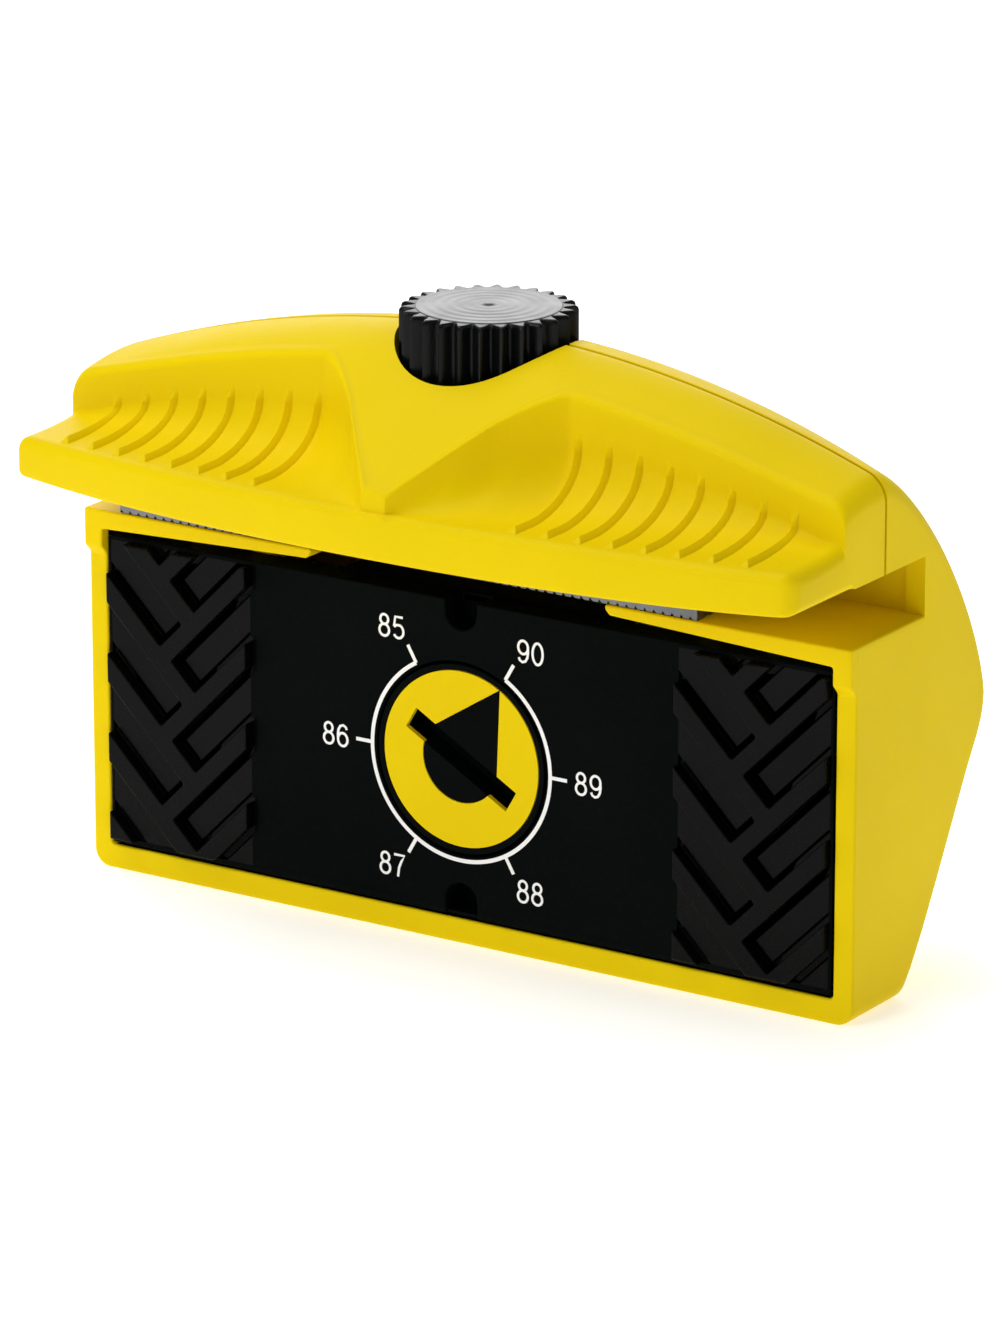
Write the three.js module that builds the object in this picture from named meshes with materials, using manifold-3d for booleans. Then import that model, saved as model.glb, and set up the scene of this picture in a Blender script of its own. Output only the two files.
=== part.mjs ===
import * as THREE from "three";
import { mergeVertices } from "three/addons/utils/BufferGeometryUtils.js";
import Module from "manifold-3d";

const wasm = await Module();
wasm.setup();

// Driving sizes, in millimetres. X runs along the tool, -Y is the side facing the ski, +Z is up.
const HALF_LENGTH = 60;
const SHELL_WALL = 3;
const FRAME_BAR = 2.85;
const FLOOR_TOP = 3.4;
const FRAME_STEP_Z = 45;
const FRAME_PROUD = 1.2;
const SHELF_TOP = 51;
const SLOT_TOP = 59;
const SLOT_DEPTH = 17;
const SEAM_Y = 6.8;
const SEAM_GAP = 0.15;
const RIDGE_Z = 82.8;
const RIDGE_DROP = 0.0032;
const BELLY_Y = 33.7;
const BELLY_Z = 36;
const LIP_TOP = 64.3;
const LIP_FRONT = -21;
const LIP_BOW = 4.8;
const LIP_BOTTOM = 58;
const LIP_END_RISE = 0.9;
const LIP_EDGE = 1.4;
const LIP_CORNER_LEFT = 0.8;
const LIP_CORNER_RIGHT = 2.2;
const GAP = 0.3;
// The tool's box is centred on Y by moving everything back by this much.
const CENTRE_SHIFT = -(BELLY_Y + LIP_FRONT) / 2;

// Turns a three.js geometry into a solid, whichever way round its faces were listed.
function solid(geometry) {
  const bare = geometry.clone();
  bare.deleteAttribute("normal");
  bare.deleteAttribute("uv");
  const merged = mergeVertices(bare, 1e-4);
  const vertProperties = merged.attributes.position.array;
  const triVerts = new Uint32Array(merged.index.array);
  const made = new wasm.Manifold(new wasm.Mesh({ numProp: 3, vertProperties, triVerts }));
  if (made.volume() > 0) return made;
  const turned = triVerts.slice().reverse();
  return new wasm.Manifold(new wasm.Mesh({ numProp: 3, vertProperties, triVerts: turned }));
}

function joined(solids) {
  return solids.reduce((sum, piece) => sum.add(piece));
}

function cutBy(body, tools) {
  return tools.reduce((left, tool) => left.subtract(tool), body);
}

function box(x0, x1, y0, y1, z0, z1) {
  const geometry = new THREE.BoxGeometry(x1 - x0, y1 - y0, z1 - z0);
  geometry.translate((x0 + x1) / 2, (y0 + y1) / 2, (z0 + z1) / 2);
  return solid(geometry);
}

function outlineShape(points) {
  return new THREE.Shape(points.map(([a, b]) => new THREE.Vector2(a, b)));
}

function extruded(points, length) {
  const settings = { depth: length, bevelEnabled: false, curveSegments: 1 };
  return new THREE.ExtrudeGeometry(outlineShape(points), settings);
}

// A prism along X whose outline is given as [y, z] points.
function prismX(points, x0, x1) {
  const geometry = extruded(points, x1 - x0);
  const axes = new THREE.Matrix4().makeBasis(
    new THREE.Vector3(0, 1, 0),
    new THREE.Vector3(0, 0, 1),
    new THREE.Vector3(1, 0, 0),
  );
  return solid(geometry.applyMatrix4(axes).translate(x0, 0, 0));
}

// A prism along Y whose outline is given as [x, z] points.
function prismY(points, y0, y1) {
  const geometry = extruded(points, y1 - y0);
  const axes = new THREE.Matrix4().makeBasis(
    new THREE.Vector3(1, 0, 0),
    new THREE.Vector3(0, 0, 1),
    new THREE.Vector3(0, -1, 0),
  );
  return solid(geometry.applyMatrix4(axes).translate(0, y1, 0));
}

// A prism along Z whose outline is given as [x, y] points.
function prismZ(points, z0, z1) {
  return solid(extruded(points, z1 - z0).translate(0, 0, z0));
}

function circlePoints(a, b, radius, sides, start = 0.07) {
  return Array.from({ length: sides }, (_, i) => {
    const angle = start + (2 * Math.PI * i) / sides;
    return [a + radius * Math.cos(angle), b + radius * Math.sin(angle)];
  });
}

function rodX(y, z, radius, x0, x1, sides = 24) {
  return prismX(circlePoints(y, z, radius, sides), x0, x1);
}

function rodY(x, z, radius, y0, y1, sides = 32) {
  return prismY(circlePoints(x, z, radius, sides), y0, y1);
}

function rodZ(x, y, radius, z0, z1, sides = 32) {
  return prismZ(circlePoints(x, y, radius, sides), z0, z1);
}

// A closed skin over rings of [x, y, z] points, with flat caps cut from the first and last ring.
// capPlane says which two coordinates lay a cap out flat.
function skinned(rings, capPlane) {
  const count = rings[0].length;
  const positions = rings.flat(2);
  const faces = [];
  for (let s = 0; s + 1 < rings.length; s++) {
    for (let i = 0; i < count; i++) {
      const a = s * count + i;
      const b = s * count + ((i + 1) % count);
      faces.push(a, b, a + count, b, b + count, a + count);
    }
  }
  const capFaces = (ring) => {
    const flat = ring.map((point) => new THREE.Vector2(point[capPlane[0]], point[capPlane[1]]));
    return THREE.ShapeUtils.triangulateShape(flat, []);
  };
  const last = (rings.length - 1) * count;
  capFaces(rings[0]).forEach(([a, b, c]) => faces.push(c, b, a));
  capFaces(rings[rings.length - 1]).forEach(([a, b, c]) => faces.push(last + a, last + b, last + c));
  const geometry = new THREE.BufferGeometry();
  geometry.setAttribute("position", new THREE.BufferAttribute(new Float32Array(positions), 3));
  geometry.setIndex(faces);
  return solid(geometry);
}

function loftX(stations, outlineAt) {
  const rings = stations.map((x) => outlineAt(x).map(([y, z]) => [x, y, z]));
  return skinned(rings, [1, 2]);
}

// How far a rounded end has come in at distance x from the middle, for a corner of the given radius.
function roundIn(x, half, radius) {
  const past = Math.abs(x) - (half - radius);
  return past <= 0 ? 0 : radius - Math.sqrt(Math.max(0, radius * radius - past * past));
}

function evenStations(half, steps) {
  return Array.from({ length: steps + 1 }, (_, i) => -half + (2 * half * i) / steps);
}

function ridgeZ(x) {
  return RIDGE_Z - RIDGE_DROP * x * x - roundIn(x, HALF_LENGTH, 2.5);
}

// ---- Housing: the rear shell with the frame for the guide plate ----

// The shell's side outline at x, brought in by inset; it runs along the base, up the back and down the front.
function shellOutline(x, inset, frontY, topFrontY) {
  const edge = roundIn(x, HALF_LENGTH, 1.2);
  const slant = inset + edge;
  const belly = BELLY_Y - slant;
  const top = ridgeZ(x) - inset;
  const base = (inset ? FLOOR_TOP : 0) + roundIn(x, HALF_LENGTH, 2.4);
  const fullness = 2 - 0.6 * (x / HALF_LENGTH) ** 2;
  const back = (y, z) => [y - 0.87 * slant, z + 0.5 * slant];
  const points = [
    [frontY, base],
    [13.4 - slant, base],
    [14.9 - slant, base + 0.9],
    back(15.4, base ? Math.max(base, 2.3) : 2.3),
    back(22, 13.6),
    back(29.1, 26.2),
    [BELLY_Y - 1.1 - slant, BELLY_Z - 3.4],
    [belly, BELLY_Z + 0.5],
  ];
  const steps = 8;
  for (let i = 1; i < steps; i++) {
    const turn = ((Math.PI / 2) * i) / steps;
    const across = Math.pow(Math.cos(turn), 2 / fullness);
    const up = Math.pow(Math.sin(turn), 2 / fullness);
    points.push([topFrontY + (belly - topFrontY) * across, BELLY_Z + 0.5 + (top - BELLY_Z - 0.5) * up]);
  }
  points.push([topFrontY, top], [topFrontY, SLOT_TOP], [frontY, SLOT_TOP]);
  return points;
}

const SEAM_BACK = SEAM_Y + SEAM_GAP;
const INNER_HALF = HALF_LENGTH - FRAME_BAR;
const KNOB_POCKET_RADIUS = 12.3;
const KNOB_POCKET_FLOOR = 76;
const WEB_FRONT = SLOT_DEPTH + 0.6;
const WEB_BACK = WEB_FRONT + 2;
const HINGE_Y = 6.2;
const HINGE_Z = 45;
const HINGE_X = 40;
const HINGE_PIN_RADIUS = 1;
const EAR_HALF = 3;
const EAR_RADIUS = 2.2;
const LUG_WIDTH = 3;
const DIAL_Z = 25.63;
const POST_Z = DIAL_Z - 10.5;
const POST_TIP_Y = 7.15;
const SCREW_X = 44;
const SCREW_Z = 66;
const NUT_BOTTOM = 67;
const NUT_HEIGHT = 5;
const NUT_RADIUS = 5.77;
const STUD_RADIUS = 3;

const endStations = [60, 59.7, 59.1, 58.3, 57.5];
const shellStations = [
  ...endStations.map((x) => -x),
  ...evenStations(50, 10),
  ...endStations.slice().reverse(),
];

const shellOuter = loftX(shellStations, (x) => shellOutline(x, 0, 0, SEAM_BACK));
const cavityStations = evenStations(INNER_HALF, 12);
const shellInner = loftX(cavityStations, (x) => shellOutline(x, SHELL_WALL, -1, SEAM_BACK - 1));

function shelfBar(side) {
  const inner = 23 * side;
  const outer = HALF_LENGTH * side;
  const outline = [
    [inner, SHELF_TOP],
    [inner, 50.2],
    [inner + 0.6 * side, 49.6],
    [outer, 48.2],
    [outer, SHELF_TOP],
  ];
  return prismY(side > 0 ? outline : outline.reverse(), -FRAME_PROUD, WEB_BACK - 0.5);
}

// The frame's upper part stands proud of its lower part, with a small slope between the two.
function proudBar(side) {
  const inner = INNER_HALF * side;
  const outer = HALF_LENGTH * side;
  const profile = [
    [-FRAME_PROUD, FRAME_STEP_Z + 0.8],
    [0.5, FRAME_STEP_Z - 0.9],
    [0.5, SHELF_TOP],
    [-FRAME_PROUD, SHELF_TOP],
  ];
  return prismX(profile, Math.min(inner, outer), Math.max(inner, outer));
}

function hingeLugs(side) {
  const offsets = [-EAR_HALF - GAP - LUG_WIDTH, EAR_HALF + GAP];
  return joined(
    offsets.map((offset) => {
      const x0 = HINGE_X * side + offset;
      const outline = [
        [4.9, 49.4],
        [4.9, HINGE_Z - 1],
        [5.8, HINGE_Z - EAR_RADIUS],
        [7.4, HINGE_Z - EAR_RADIUS],
        [9.6, 49.4],
      ];
      return prismX(outline, x0, x0 + LUG_WIDTH).subtract(
        rodX(HINGE_Y, HINGE_Z, HINGE_PIN_RADIUS + 0.03, x0 - 1, x0 + LUG_WIDTH + 1),
      );
    }),
  );
}

const webPlate = box(-INNER_HALF - 0.5, INNER_HALF + 0.5, WEB_FRONT, WEB_BACK, 47.4, SLOT_TOP + 2);
const crownFloorBack = WEB_BACK - 0.4;
const crownHalf = INNER_HALF + 0.5;
const crownFloor = box(-crownHalf, crownHalf, SEAM_BACK - 3, crownFloorBack, SLOT_TOP - 1, SLOT_TOP + 2.6);
const stemBlock = box(-14.5, 14.5, SEAM_BACK - 3, 20.5, SLOT_TOP - 0.5, KNOB_POCKET_FLOOR + 9);
const postBoss = rodY(0, POST_Z, 3.4, 12, 24, 24);
const screwBosses = [-1, 1].map((side) => rodY(SCREW_X * side, SCREW_Z, 4.8, SEAM_BACK - 3, 24, 20));
const keptInside = joined([webPlate, crownFloor, stemBlock, postBoss, ...screwBosses]);
const shellCavity = shellInner.subtract(keptInside);

const slotCut = box(-70, 70, -5, SLOT_DEPTH, SHELF_TOP, SLOT_TOP);
const webSlotCut = box(-INNER_HALF, INNER_HALF, 10, WEB_FRONT, SHELF_TOP, SLOT_TOP);
const knobPocket = rodZ(0, SEAM_Y, KNOB_POCKET_RADIUS, KNOB_POCKET_FLOOR, 95, 48);
const studBore = rodZ(0, SEAM_Y, STUD_RADIUS + 0.4, SLOT_TOP - 1, 95, 24);
const nutOutline = (grow) => circlePoints(0, SEAM_Y, NUT_RADIUS + grow, 6, 0);
const nutPocket = prismZ(nutOutline(0.2), NUT_BOTTOM - 0.15, NUT_BOTTOM + NUT_HEIGHT + 0.15);
const barRecess = joined([
  box(-42, 42, 0.6, 13, SLOT_TOP - 1, SLOT_TOP + 1),
  rodZ(0, SEAM_Y, 7.2, SLOT_TOP - 1, SLOT_TOP + 4, 32),
]);
const SCREW_HEAD_Y = 17;
const screwCuts = [-1, 1].flatMap((side) => [
  rodY(SCREW_X * side, SCREW_Z, 1.75, 5, SCREW_HEAD_Y + 1, 20),
  rodY(SCREW_X * side, SCREW_Z, 3.5, SCREW_HEAD_Y, 40, 24),
]);
const postHole = rodY(0, POST_Z, 1.53, 10, 18, 16);

const housingShell = cutBy(shellOuter, [shellCavity, slotCut, webSlotCut]);
const housing = cutBy(
  joined([housingShell, shelfBar(-1), shelfBar(1), proudBar(-1), proudBar(1), hingeLugs(-1), hingeLugs(1)]),
  [knobPocket, studBore, nutPocket, barRecess, ...screwCuts, postHole],
);

// ---- Grip cover: the front-top shell with the finger lip, the two scoops and the centre keel ----

const SEAM_FRONT = SEAM_Y - SEAM_GAP;
const KEEL_APEX_X = 1.8;
const KEEL_SHOULDER_X = 11.2;
const SCOOP_SHOULDER_X = 19;
const SHOULDER_Y = -3;
const KEEL_BLEND = 3;

function lipFrontY(x) {
  const corner = x < 0 ? LIP_CORNER_LEFT : LIP_CORNER_RIGHT;
  return LIP_FRONT + LIP_BOW * (x / 58) ** 2 + roundIn(x, HALF_LENGTH, corner);
}

// The lip hangs a little below the slot's ceiling, less so towards its two ends.
function lipBottomZ(x) {
  return LIP_BOTTOM + LIP_END_RISE * (x / HALF_LENGTH) ** 4;
}

// The line in plan where the scoop wall ends: along the keel's crease, then along the shoulder.
function wallTopY(x) {
  const out = Math.abs(x);
  const creaseEnd = -9.2;
  if (out < KEEL_APEX_X) return LIP_FRONT + 0.9;
  if (out < KEEL_SHOULDER_X) {
    const share = (out - KEEL_APEX_X) / (KEEL_SHOULDER_X - KEEL_APEX_X);
    return LIP_FRONT + 0.9 + share * (creaseEnd - LIP_FRONT - 0.9);
  }
  if (out < SCOOP_SHOULDER_X) {
    const share = (out - KEEL_SHOULDER_X) / (SCOOP_SHOULDER_X - KEEL_SHOULDER_X);
    return creaseEnd + (1 - (1 - share) ** 1.25) * (SHOULDER_Y - 0.2 - creaseEnd);
  }
  return SHOULDER_Y - 0.2;
}

function keelZ(y) {
  return 65.6 + 0.86 * (y + 20.9);
}

// The crown curves down from the seam to the shoulder, and runs on straight in front of it.
function crownZ(x, y, inset = 0) {
  const drop = 3 - 2 * (Math.abs(x) / HALF_LENGTH) ** 6;
  const share = (SEAM_Y - y) / (SEAM_Y - SHOULDER_Y);
  const fall = share < 1 ? share * share : 2 * share - 1;
  return ridgeZ(x) - inset - drop * fall;
}

// The keel's slope runs into the crown with a soft blend.
function coverTopZ(x, y) {
  const keel = keelZ(y);
  const crown = crownZ(x, y);
  const near = Math.max(0, 1 - Math.abs(keel - crown) / KEEL_BLEND);
  return Math.min(keel, crown) - (near * near * KEEL_BLEND) / 4;
}

// A scoop's section is a quarter of an ellipse between the lip's top and the wall.
function scoopWidth(x) {
  return Math.min(12 - (x / HALF_LENGTH) ** 2, wallTopY(x) - lipFrontY(x) - 1.6);
}

function scoopHeight(x) {
  const past = Math.max(0, Math.abs(x) - 16) / 36;
  return Math.max(1.2, 7.7 - 5 * past * past);
}

function coverOutline(x) {
  const front = lipFrontY(x);
  const wallY = wallTopY(x);
  const soft = Math.min(0.9, (SEAM_FRONT - wallY) / 4);
  const shoulderZ = coverTopZ(x, wallY + soft);
  const wide = Math.max(0.25, scoopWidth(x));
  const high = Math.max(0.25, Math.min(scoopHeight(x), shoulderZ - LIP_TOP - 1));
  const edge = Math.min(LIP_EDGE, (wallY - wide - front) * 0.8);
  const points = [
    [front + 0.7, lipBottomZ(x)],
    [-1.6, lipBottomZ(x)],
    [-0.6, SLOT_TOP],
    [SEAM_FRONT, SLOT_TOP],
    [SEAM_FRONT, ridgeZ(x) - 0.35],
    [SEAM_FRONT - 0.35, crownZ(x, SEAM_FRONT)],
  ];
  const crownSteps = 6;
  for (let i = 1; i < crownSteps; i++) {
    const y = SEAM_FRONT - 0.35 + ((wallY + soft - SEAM_FRONT + 0.35) * i) / crownSteps;
    points.push([y, coverTopZ(x, y)]);
  }
  points.push([wallY + soft, shoulderZ], [wallY + 0.02, shoulderZ - soft]);
  const arcSteps = 5;
  for (let i = 0; i <= arcSteps; i++) {
    const turn = ((Math.PI / 2) * i) / arcSteps;
    points.push([wallY - wide + wide * Math.cos(turn), LIP_TOP + high - high * Math.sin(turn)]);
  }
  points.push([front + edge, LIP_TOP + 0.02], [front + 0.3 * edge, LIP_TOP - 0.3 * edge]);
  points.push([front, LIP_TOP - edge], [front, lipBottomZ(x) + 0.7]);
  return points;
}

const coverStations = [
  ...endStations.map((x) => -x),
  ...[54, 48, 42, 36, 30, 25, 21, 18, 16.5, 14.5, 12.8, 11.3, 9, 6.5, 4, 1.4].map((x) => -x),
  ...[1.4, 4, 6.5, 9, 11.3, 12.8, 14.5, 16.5, 18, 21, 25, 30, 36, 42, 48, 54],
  ...endStations.slice().reverse(),
];

// A thin rib that follows the scoop's floor and wall at x, standing out by its height.
const RIB_COUNT = 8;
const RIB_START = 20.2;
const RIB_PITCH = 4.62;
const RIB_HEIGHT = 0.8;
const RIB_WIDTH = 0.9;

function scoopRib(x) {
  const wallY = wallTopY(x);
  const wide = scoopWidth(x);
  const high = scoopHeight(x);
  const footY = lipFrontY(x) + 1.7;
  const topZ = 72.8 - 5 * ((Math.abs(x) - RIB_START) / (RIB_PITCH * (RIB_COUNT - 1))) ** 1.5;
  const below = Math.max(0, LIP_TOP + high - topZ) / high;
  const surfaceY = wallY - wide + wide * Math.sqrt(1 - below * below);
  const arc = (grow, steps) =>
    Array.from({ length: steps + 1 }, (_, i) => {
      const turn = ((Math.PI / 2) * i) / steps;
      const y = wallY - wide + (wide - grow) * Math.cos(turn);
      return [y, LIP_TOP + high - (high - grow) * Math.sin(turn)];
    }).filter(([, z]) => z < topZ - 0.3);
  const outline = [
    [surfaceY + 0.6, topZ],
    [surfaceY - 0.15, topZ],
    ...arc(RIB_HEIGHT, 5),
    [footY + 0.5, LIP_TOP + RIB_HEIGHT - 0.02],
    [footY, LIP_TOP - 0.3],
    ...arc(-0.6, 3).reverse(),
  ];
  return prismX(outline.reverse(), x - RIB_WIDTH / 2, x + RIB_WIDTH / 2);
}

const scoopRibs = [-1, 1].flatMap((side) =>
  Array.from({ length: RIB_COUNT }, (_, i) => scoopRib(side * (RIB_START + RIB_PITCH * i))),
);

// The cover is hollow on each side of the block that holds the nut, and open towards the housing.
function coverHollow(side) {
  const stations = [16, 24, 34, 44, 56].map((x) => x * side);
  if (side < 0) stations.reverse();
  const outline = (x) => [
    [SHOULDER_Y + 3, SLOT_TOP + 2.7],
    [SEAM_Y + 1, SLOT_TOP + 2.71],
    [SEAM_Y + 1, crownZ(x, SEAM_Y + 1, 2.8)],
    [3, crownZ(x, 3, 2.8)],
    [SHOULDER_Y + 3.1, crownZ(x, SHOULDER_Y + 3.1, 2.9)],
  ];
  return loftX(stations, outline).subtract(rodY(SCREW_X * side, SCREW_Z, 4.2, -5, 10, 20));
}

const coverScrewHoles = [-1, 1].map((side) => rodY(SCREW_X * side, SCREW_Z, 1.55, 1, 10, 16));
const gripCover = cutBy(
  joined([loftX(coverStations, coverOutline), ...scoopRibs]),
  [coverHollow(-1), coverHollow(1), knobPocket, studBore, nutPocket, barRecess, ...coverScrewHoles],
);

// ---- Clamp: knob, stud, captive nut and the bar that presses the file down ----

const KNOB_RADIUS = 11.7;
const KNOB_BOTTOM = 76.5;
const KNOB_TOP = 85.7;
const FLUTES = 26;
const CAP_RADIUS = 9.6;

// Round ridges with an equally round groove between each two of them.
function flutedPoints(radius, depth) {
  const perFlute = 6;
  const total = FLUTES * perFlute;
  return Array.from({ length: total }, (_, i) => {
    const angle = (2 * Math.PI * i) / total;
    const aside = Math.abs(((i % perFlute) / perFlute) * 2 - 1);
    const reach = radius - (depth / 2) * (1 - Math.cos(Math.PI * aside));
    return [reach * Math.cos(angle), SEAM_Y + reach * Math.sin(angle)];
  });
}

function turnedZ(x, y, profile, sides = 48) {
  const points = profile.map(([r, z]) => new THREE.Vector2(r, z));
  const geometry = new THREE.LatheGeometry(points, sides);
  geometry.rotateX(Math.PI / 2);
  return solid(geometry.translate(x, y, 0));
}

const STUD_TOP = 83.6;
const knobBlank = turnedZ(0, SEAM_Y, [
  [0, KNOB_BOTTOM],
  [KNOB_RADIUS - 0.6, KNOB_BOTTOM],
  [KNOB_RADIUS + 0.1, KNOB_BOTTOM + 0.7],
  [KNOB_RADIUS + 0.1, KNOB_TOP - 0.8],
  [KNOB_RADIUS - 0.7, KNOB_TOP],
  [0, KNOB_TOP],
], 52);
const knobFlutes = prismZ(flutedPoints(KNOB_RADIUS, 1.6), KNOB_BOTTOM - 1, KNOB_TOP + 1);
const clampKnob = cutBy(knobFlutes.intersect(knobBlank), [
  rodZ(0, SEAM_Y, CAP_RADIUS + 0.1, KNOB_TOP - 1, 95, 48),
  rodZ(0, SEAM_Y, STUD_RADIUS + 0.03, KNOB_BOTTOM - 1, STUD_TOP + 0.1, 24),
]);
const knobCap = turnedZ(0, SEAM_Y, [
  [0, KNOB_TOP - 0.95],
  [CAP_RADIUS, KNOB_TOP - 0.95],
  [CAP_RADIUS, KNOB_TOP + 0.05],
  [CAP_RADIUS - 0.2, KNOB_TOP + 0.15],
  [1, KNOB_TOP + 0.25],
  [0, KNOB_TOP + 0.4],
], 48);

const FILE_LEFT = -54.1;
const FILE_RIGHT = 36.9;
const FILE_FRONT = -1;
const FILE_BACK = 16.8;
const FILE_THICK = 4;
const FILE_BOTTOM = SHELF_TOP + 0.05;
const BAR_BOTTOM = FILE_BOTTOM + FILE_THICK + 0.1;
const BAR_TOP = BAR_BOTTOM + 2.4;
const BOSS_TOP = BAR_TOP + 3;
const TIP_BOTTOM = BOSS_TOP - 2.2;

const clampStud = turnedZ(0, SEAM_Y, [
  [0, TIP_BOTTOM],
  [2.6, TIP_BOTTOM],
  [2.6, TIP_BOTTOM + 0.9],
  [1.8, TIP_BOTTOM + 0.9],
  [1.8, BOSS_TOP + 0.3],
  [STUD_RADIUS, BOSS_TOP + 1.2],
  [STUD_RADIUS, STUD_TOP],
  [0, STUD_TOP],
], 24);
const clampNut = prismZ(nutOutline(0), NUT_BOTTOM, NUT_BOTTOM + NUT_HEIGHT).subtract(
  rodZ(0, SEAM_Y, STUD_RADIUS + 0.08, NUT_BOTTOM - 1, NUT_BOTTOM + NUT_HEIGHT + 1, 24),
);
const pressureBar = cutBy(
  joined([
    box(-41, 41, 1.4, 12.2, BAR_BOTTOM, BAR_TOP),
    rodZ(0, SEAM_Y, 6.2, BAR_BOTTOM + 1, BOSS_TOP, 32),
  ]),
  [
    rodZ(0, SEAM_Y, 2.9, TIP_BOTTOM - 0.15, BOSS_TOP + 1, 24),
    rodZ(0, SEAM_Y, 4.6, BOSS_TOP - 1, BOSS_TOP + 1, 32),
  ],
);
const footClip = rodZ(0, SEAM_Y, 4.5, BOSS_TOP - 0.95, BOSS_TOP - 0.1, 32).subtract(
  rodZ(0, SEAM_Y, 2, BOSS_TOP - 2, BOSS_TOP + 1, 24),
);
const file = box(FILE_LEFT, FILE_RIGHT, FILE_FRONT, FILE_BACK, FILE_BOTTOM, FILE_BOTTOM + FILE_THICK);

// ---- Guide plate with its two tread pads ----

const PLATE_HALF = INNER_HALF - GAP;
const PLATE_BOTTOM = FLOOR_TOP + 0.4;
const PLATE_TOP = 47.4;
const PLATE_BACK = 4.2;
const PAD_CENTRE = 45;
const PAD_HALF = 11.4;
const PAD_BACK = 1.2;
const PAD_FLOOR = 0.55;
const TREAD_HEIGHT = 1.4;
const TREAD_PERIOD = 11.24;
const NOTCH_HALF = 2.45;
const DIAL_HOLE = 13.35;
const NECK_RADIUS = 9.6;
const LEDGE_Y = 2.5;

const RIM_HALF = 22;
const RIM_DEPTH = 9.6;
const NOTCH_WALL = 1;

// A slot with a rounded inner end, open at the plate's top or bottom edge.
function plateNotch(openZ, innerZ) {
  const towards = Math.sign(innerZ - openZ);
  const centre = innerZ - NOTCH_HALF * towards;
  const arc = Array.from({ length: 9 }, (_, i) => {
    const turn = (Math.PI * i) / 8;
    return [NOTCH_HALF * Math.cos(turn), centre + towards * NOTCH_HALF * Math.sin(turn)];
  });
  const outline = [[NOTCH_HALF, openZ - 2 * towards], ...arc, [-NOTCH_HALF, openZ - 2 * towards]];
  return prismY(towards > 0 ? outline : outline.reverse(), -1, PLATE_BACK + 1);
}

function hingeEar(side) {
  const x0 = HINGE_X * side - EAR_HALF;
  const arc = Array.from({ length: 9 }, (_, i) => {
    const turn = -Math.PI / 2 + (Math.PI * i) / 8;
    return [HINGE_Y + EAR_RADIUS * Math.cos(turn), HINGE_Z + EAR_RADIUS * Math.sin(turn)];
  });
  const outline = [[PLATE_BACK - 1, HINGE_Z + EAR_RADIUS], [PLATE_BACK - 1, HINGE_Z - EAR_RADIUS - 2], ...arc];
  return prismX(outline, x0, x0 + 2 * EAR_HALF);
}

const padRecesses = [-1, 1].map((side) =>
  box(
    side * PAD_CENTRE - PAD_HALF - 0.1,
    side * PAD_CENTRE + PAD_HALF + 0.1,
    -1,
    PAD_BACK + 0.02,
    PLATE_BOTTOM + 0.8,
    PLATE_TOP - 0.6,
  ),
);
const hingeBore = rodX(HINGE_Y, HINGE_Z, HINGE_PIN_RADIUS + 0.06, -60, 60);
const rearRim = box(-RIM_HALF, RIM_HALF, PLATE_BACK - 0.2, RIM_DEPTH, PLATE_TOP - 1.5, PLATE_TOP - 0.1);
const notchWall = (z0, z1) => {
  const half = NOTCH_HALF + 1.2;
  return box(-half, half, PLATE_BACK - 0.2, PLATE_BACK + NOTCH_WALL, z0, z1);
};
const sillHalf = NOTCH_HALF + 0.3;
const notchSill = box(-sillHalf, sillHalf, 0.4, PLATE_BACK - 0.1, PLATE_BOTTOM + 0.05, PLATE_BOTTOM + 0.5);
const notchWalls = [
  notchWall(PLATE_TOP - 5.2, PLATE_TOP - 0.1),
  notchWall(PLATE_BOTTOM + 0.1, PLATE_BOTTOM + 5.8),
  notchSill,
];
const plateBlank = cutBy(
  joined([
    box(-PLATE_HALF, PLATE_HALF, 0, PLATE_BACK, PLATE_BOTTOM, PLATE_TOP),
    rodY(0, DIAL_Z, DIAL_HOLE + 1.6, PLATE_BACK - 1, PLATE_BACK + 0.6, 40),
    hingeEar(-1),
    hingeEar(1),
  ]),
  [
    ...padRecesses,
    hingeBore,
    rodY(0, DIAL_Z, DIAL_HOLE, -1, LEDGE_Y, 48),
    rodY(0, DIAL_Z, NECK_RADIUS + 0.25, -1, 10, 40),
    plateNotch(PLATE_TOP, PLATE_TOP - 4),
    plateNotch(PLATE_BOTTOM, PLATE_BOTTOM + 4.6),
  ],
);

// The tread is drawn on two families of 45 degree lines: falling lines where across + z = fall,
// and rising lines where z - across = rise. This is the point where one of each meets.
function treadPoint(fall, rise) {
  return [(fall - rise) / 2, (fall + rise) / 2];
}

const FALLING_BAR = [38.1, 42.2];
const RISING_BAR = [32.5, 36.1];
const FALLING_MIDDLE = (FALLING_BAR[0] + FALLING_BAR[1]) / 2 - TREAD_PERIOD;
const RISING_MIDDLE = (RISING_BAR[0] + RISING_BAR[1]) / 2;
const GROOVE = 1.2;
const BAR_END_GAP = 0.95;

// A falling strip from the pad's left edge to the middle of the rising bar it runs into.
function fallingStrip(low, high, shift) {
  const left = -PAD_HALF - 1;
  return [
    [left, low + shift - left],
    treadPoint(low + shift, RISING_MIDDLE + shift),
    treadPoint(high + shift, RISING_MIDDLE + shift),
    [left, high + shift - left],
  ];
}

// A rising strip from the middle of the falling bar below it to the pad's right edge.
function risingStrip(low, high, shift) {
  const right = PAD_HALF + 1;
  return [
    treadPoint(FALLING_MIDDLE + shift, low + shift),
    [right, low + shift + right],
    [right, high + shift + right],
    treadPoint(FALLING_MIDDLE + shift, high + shift),
  ];
}

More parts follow.
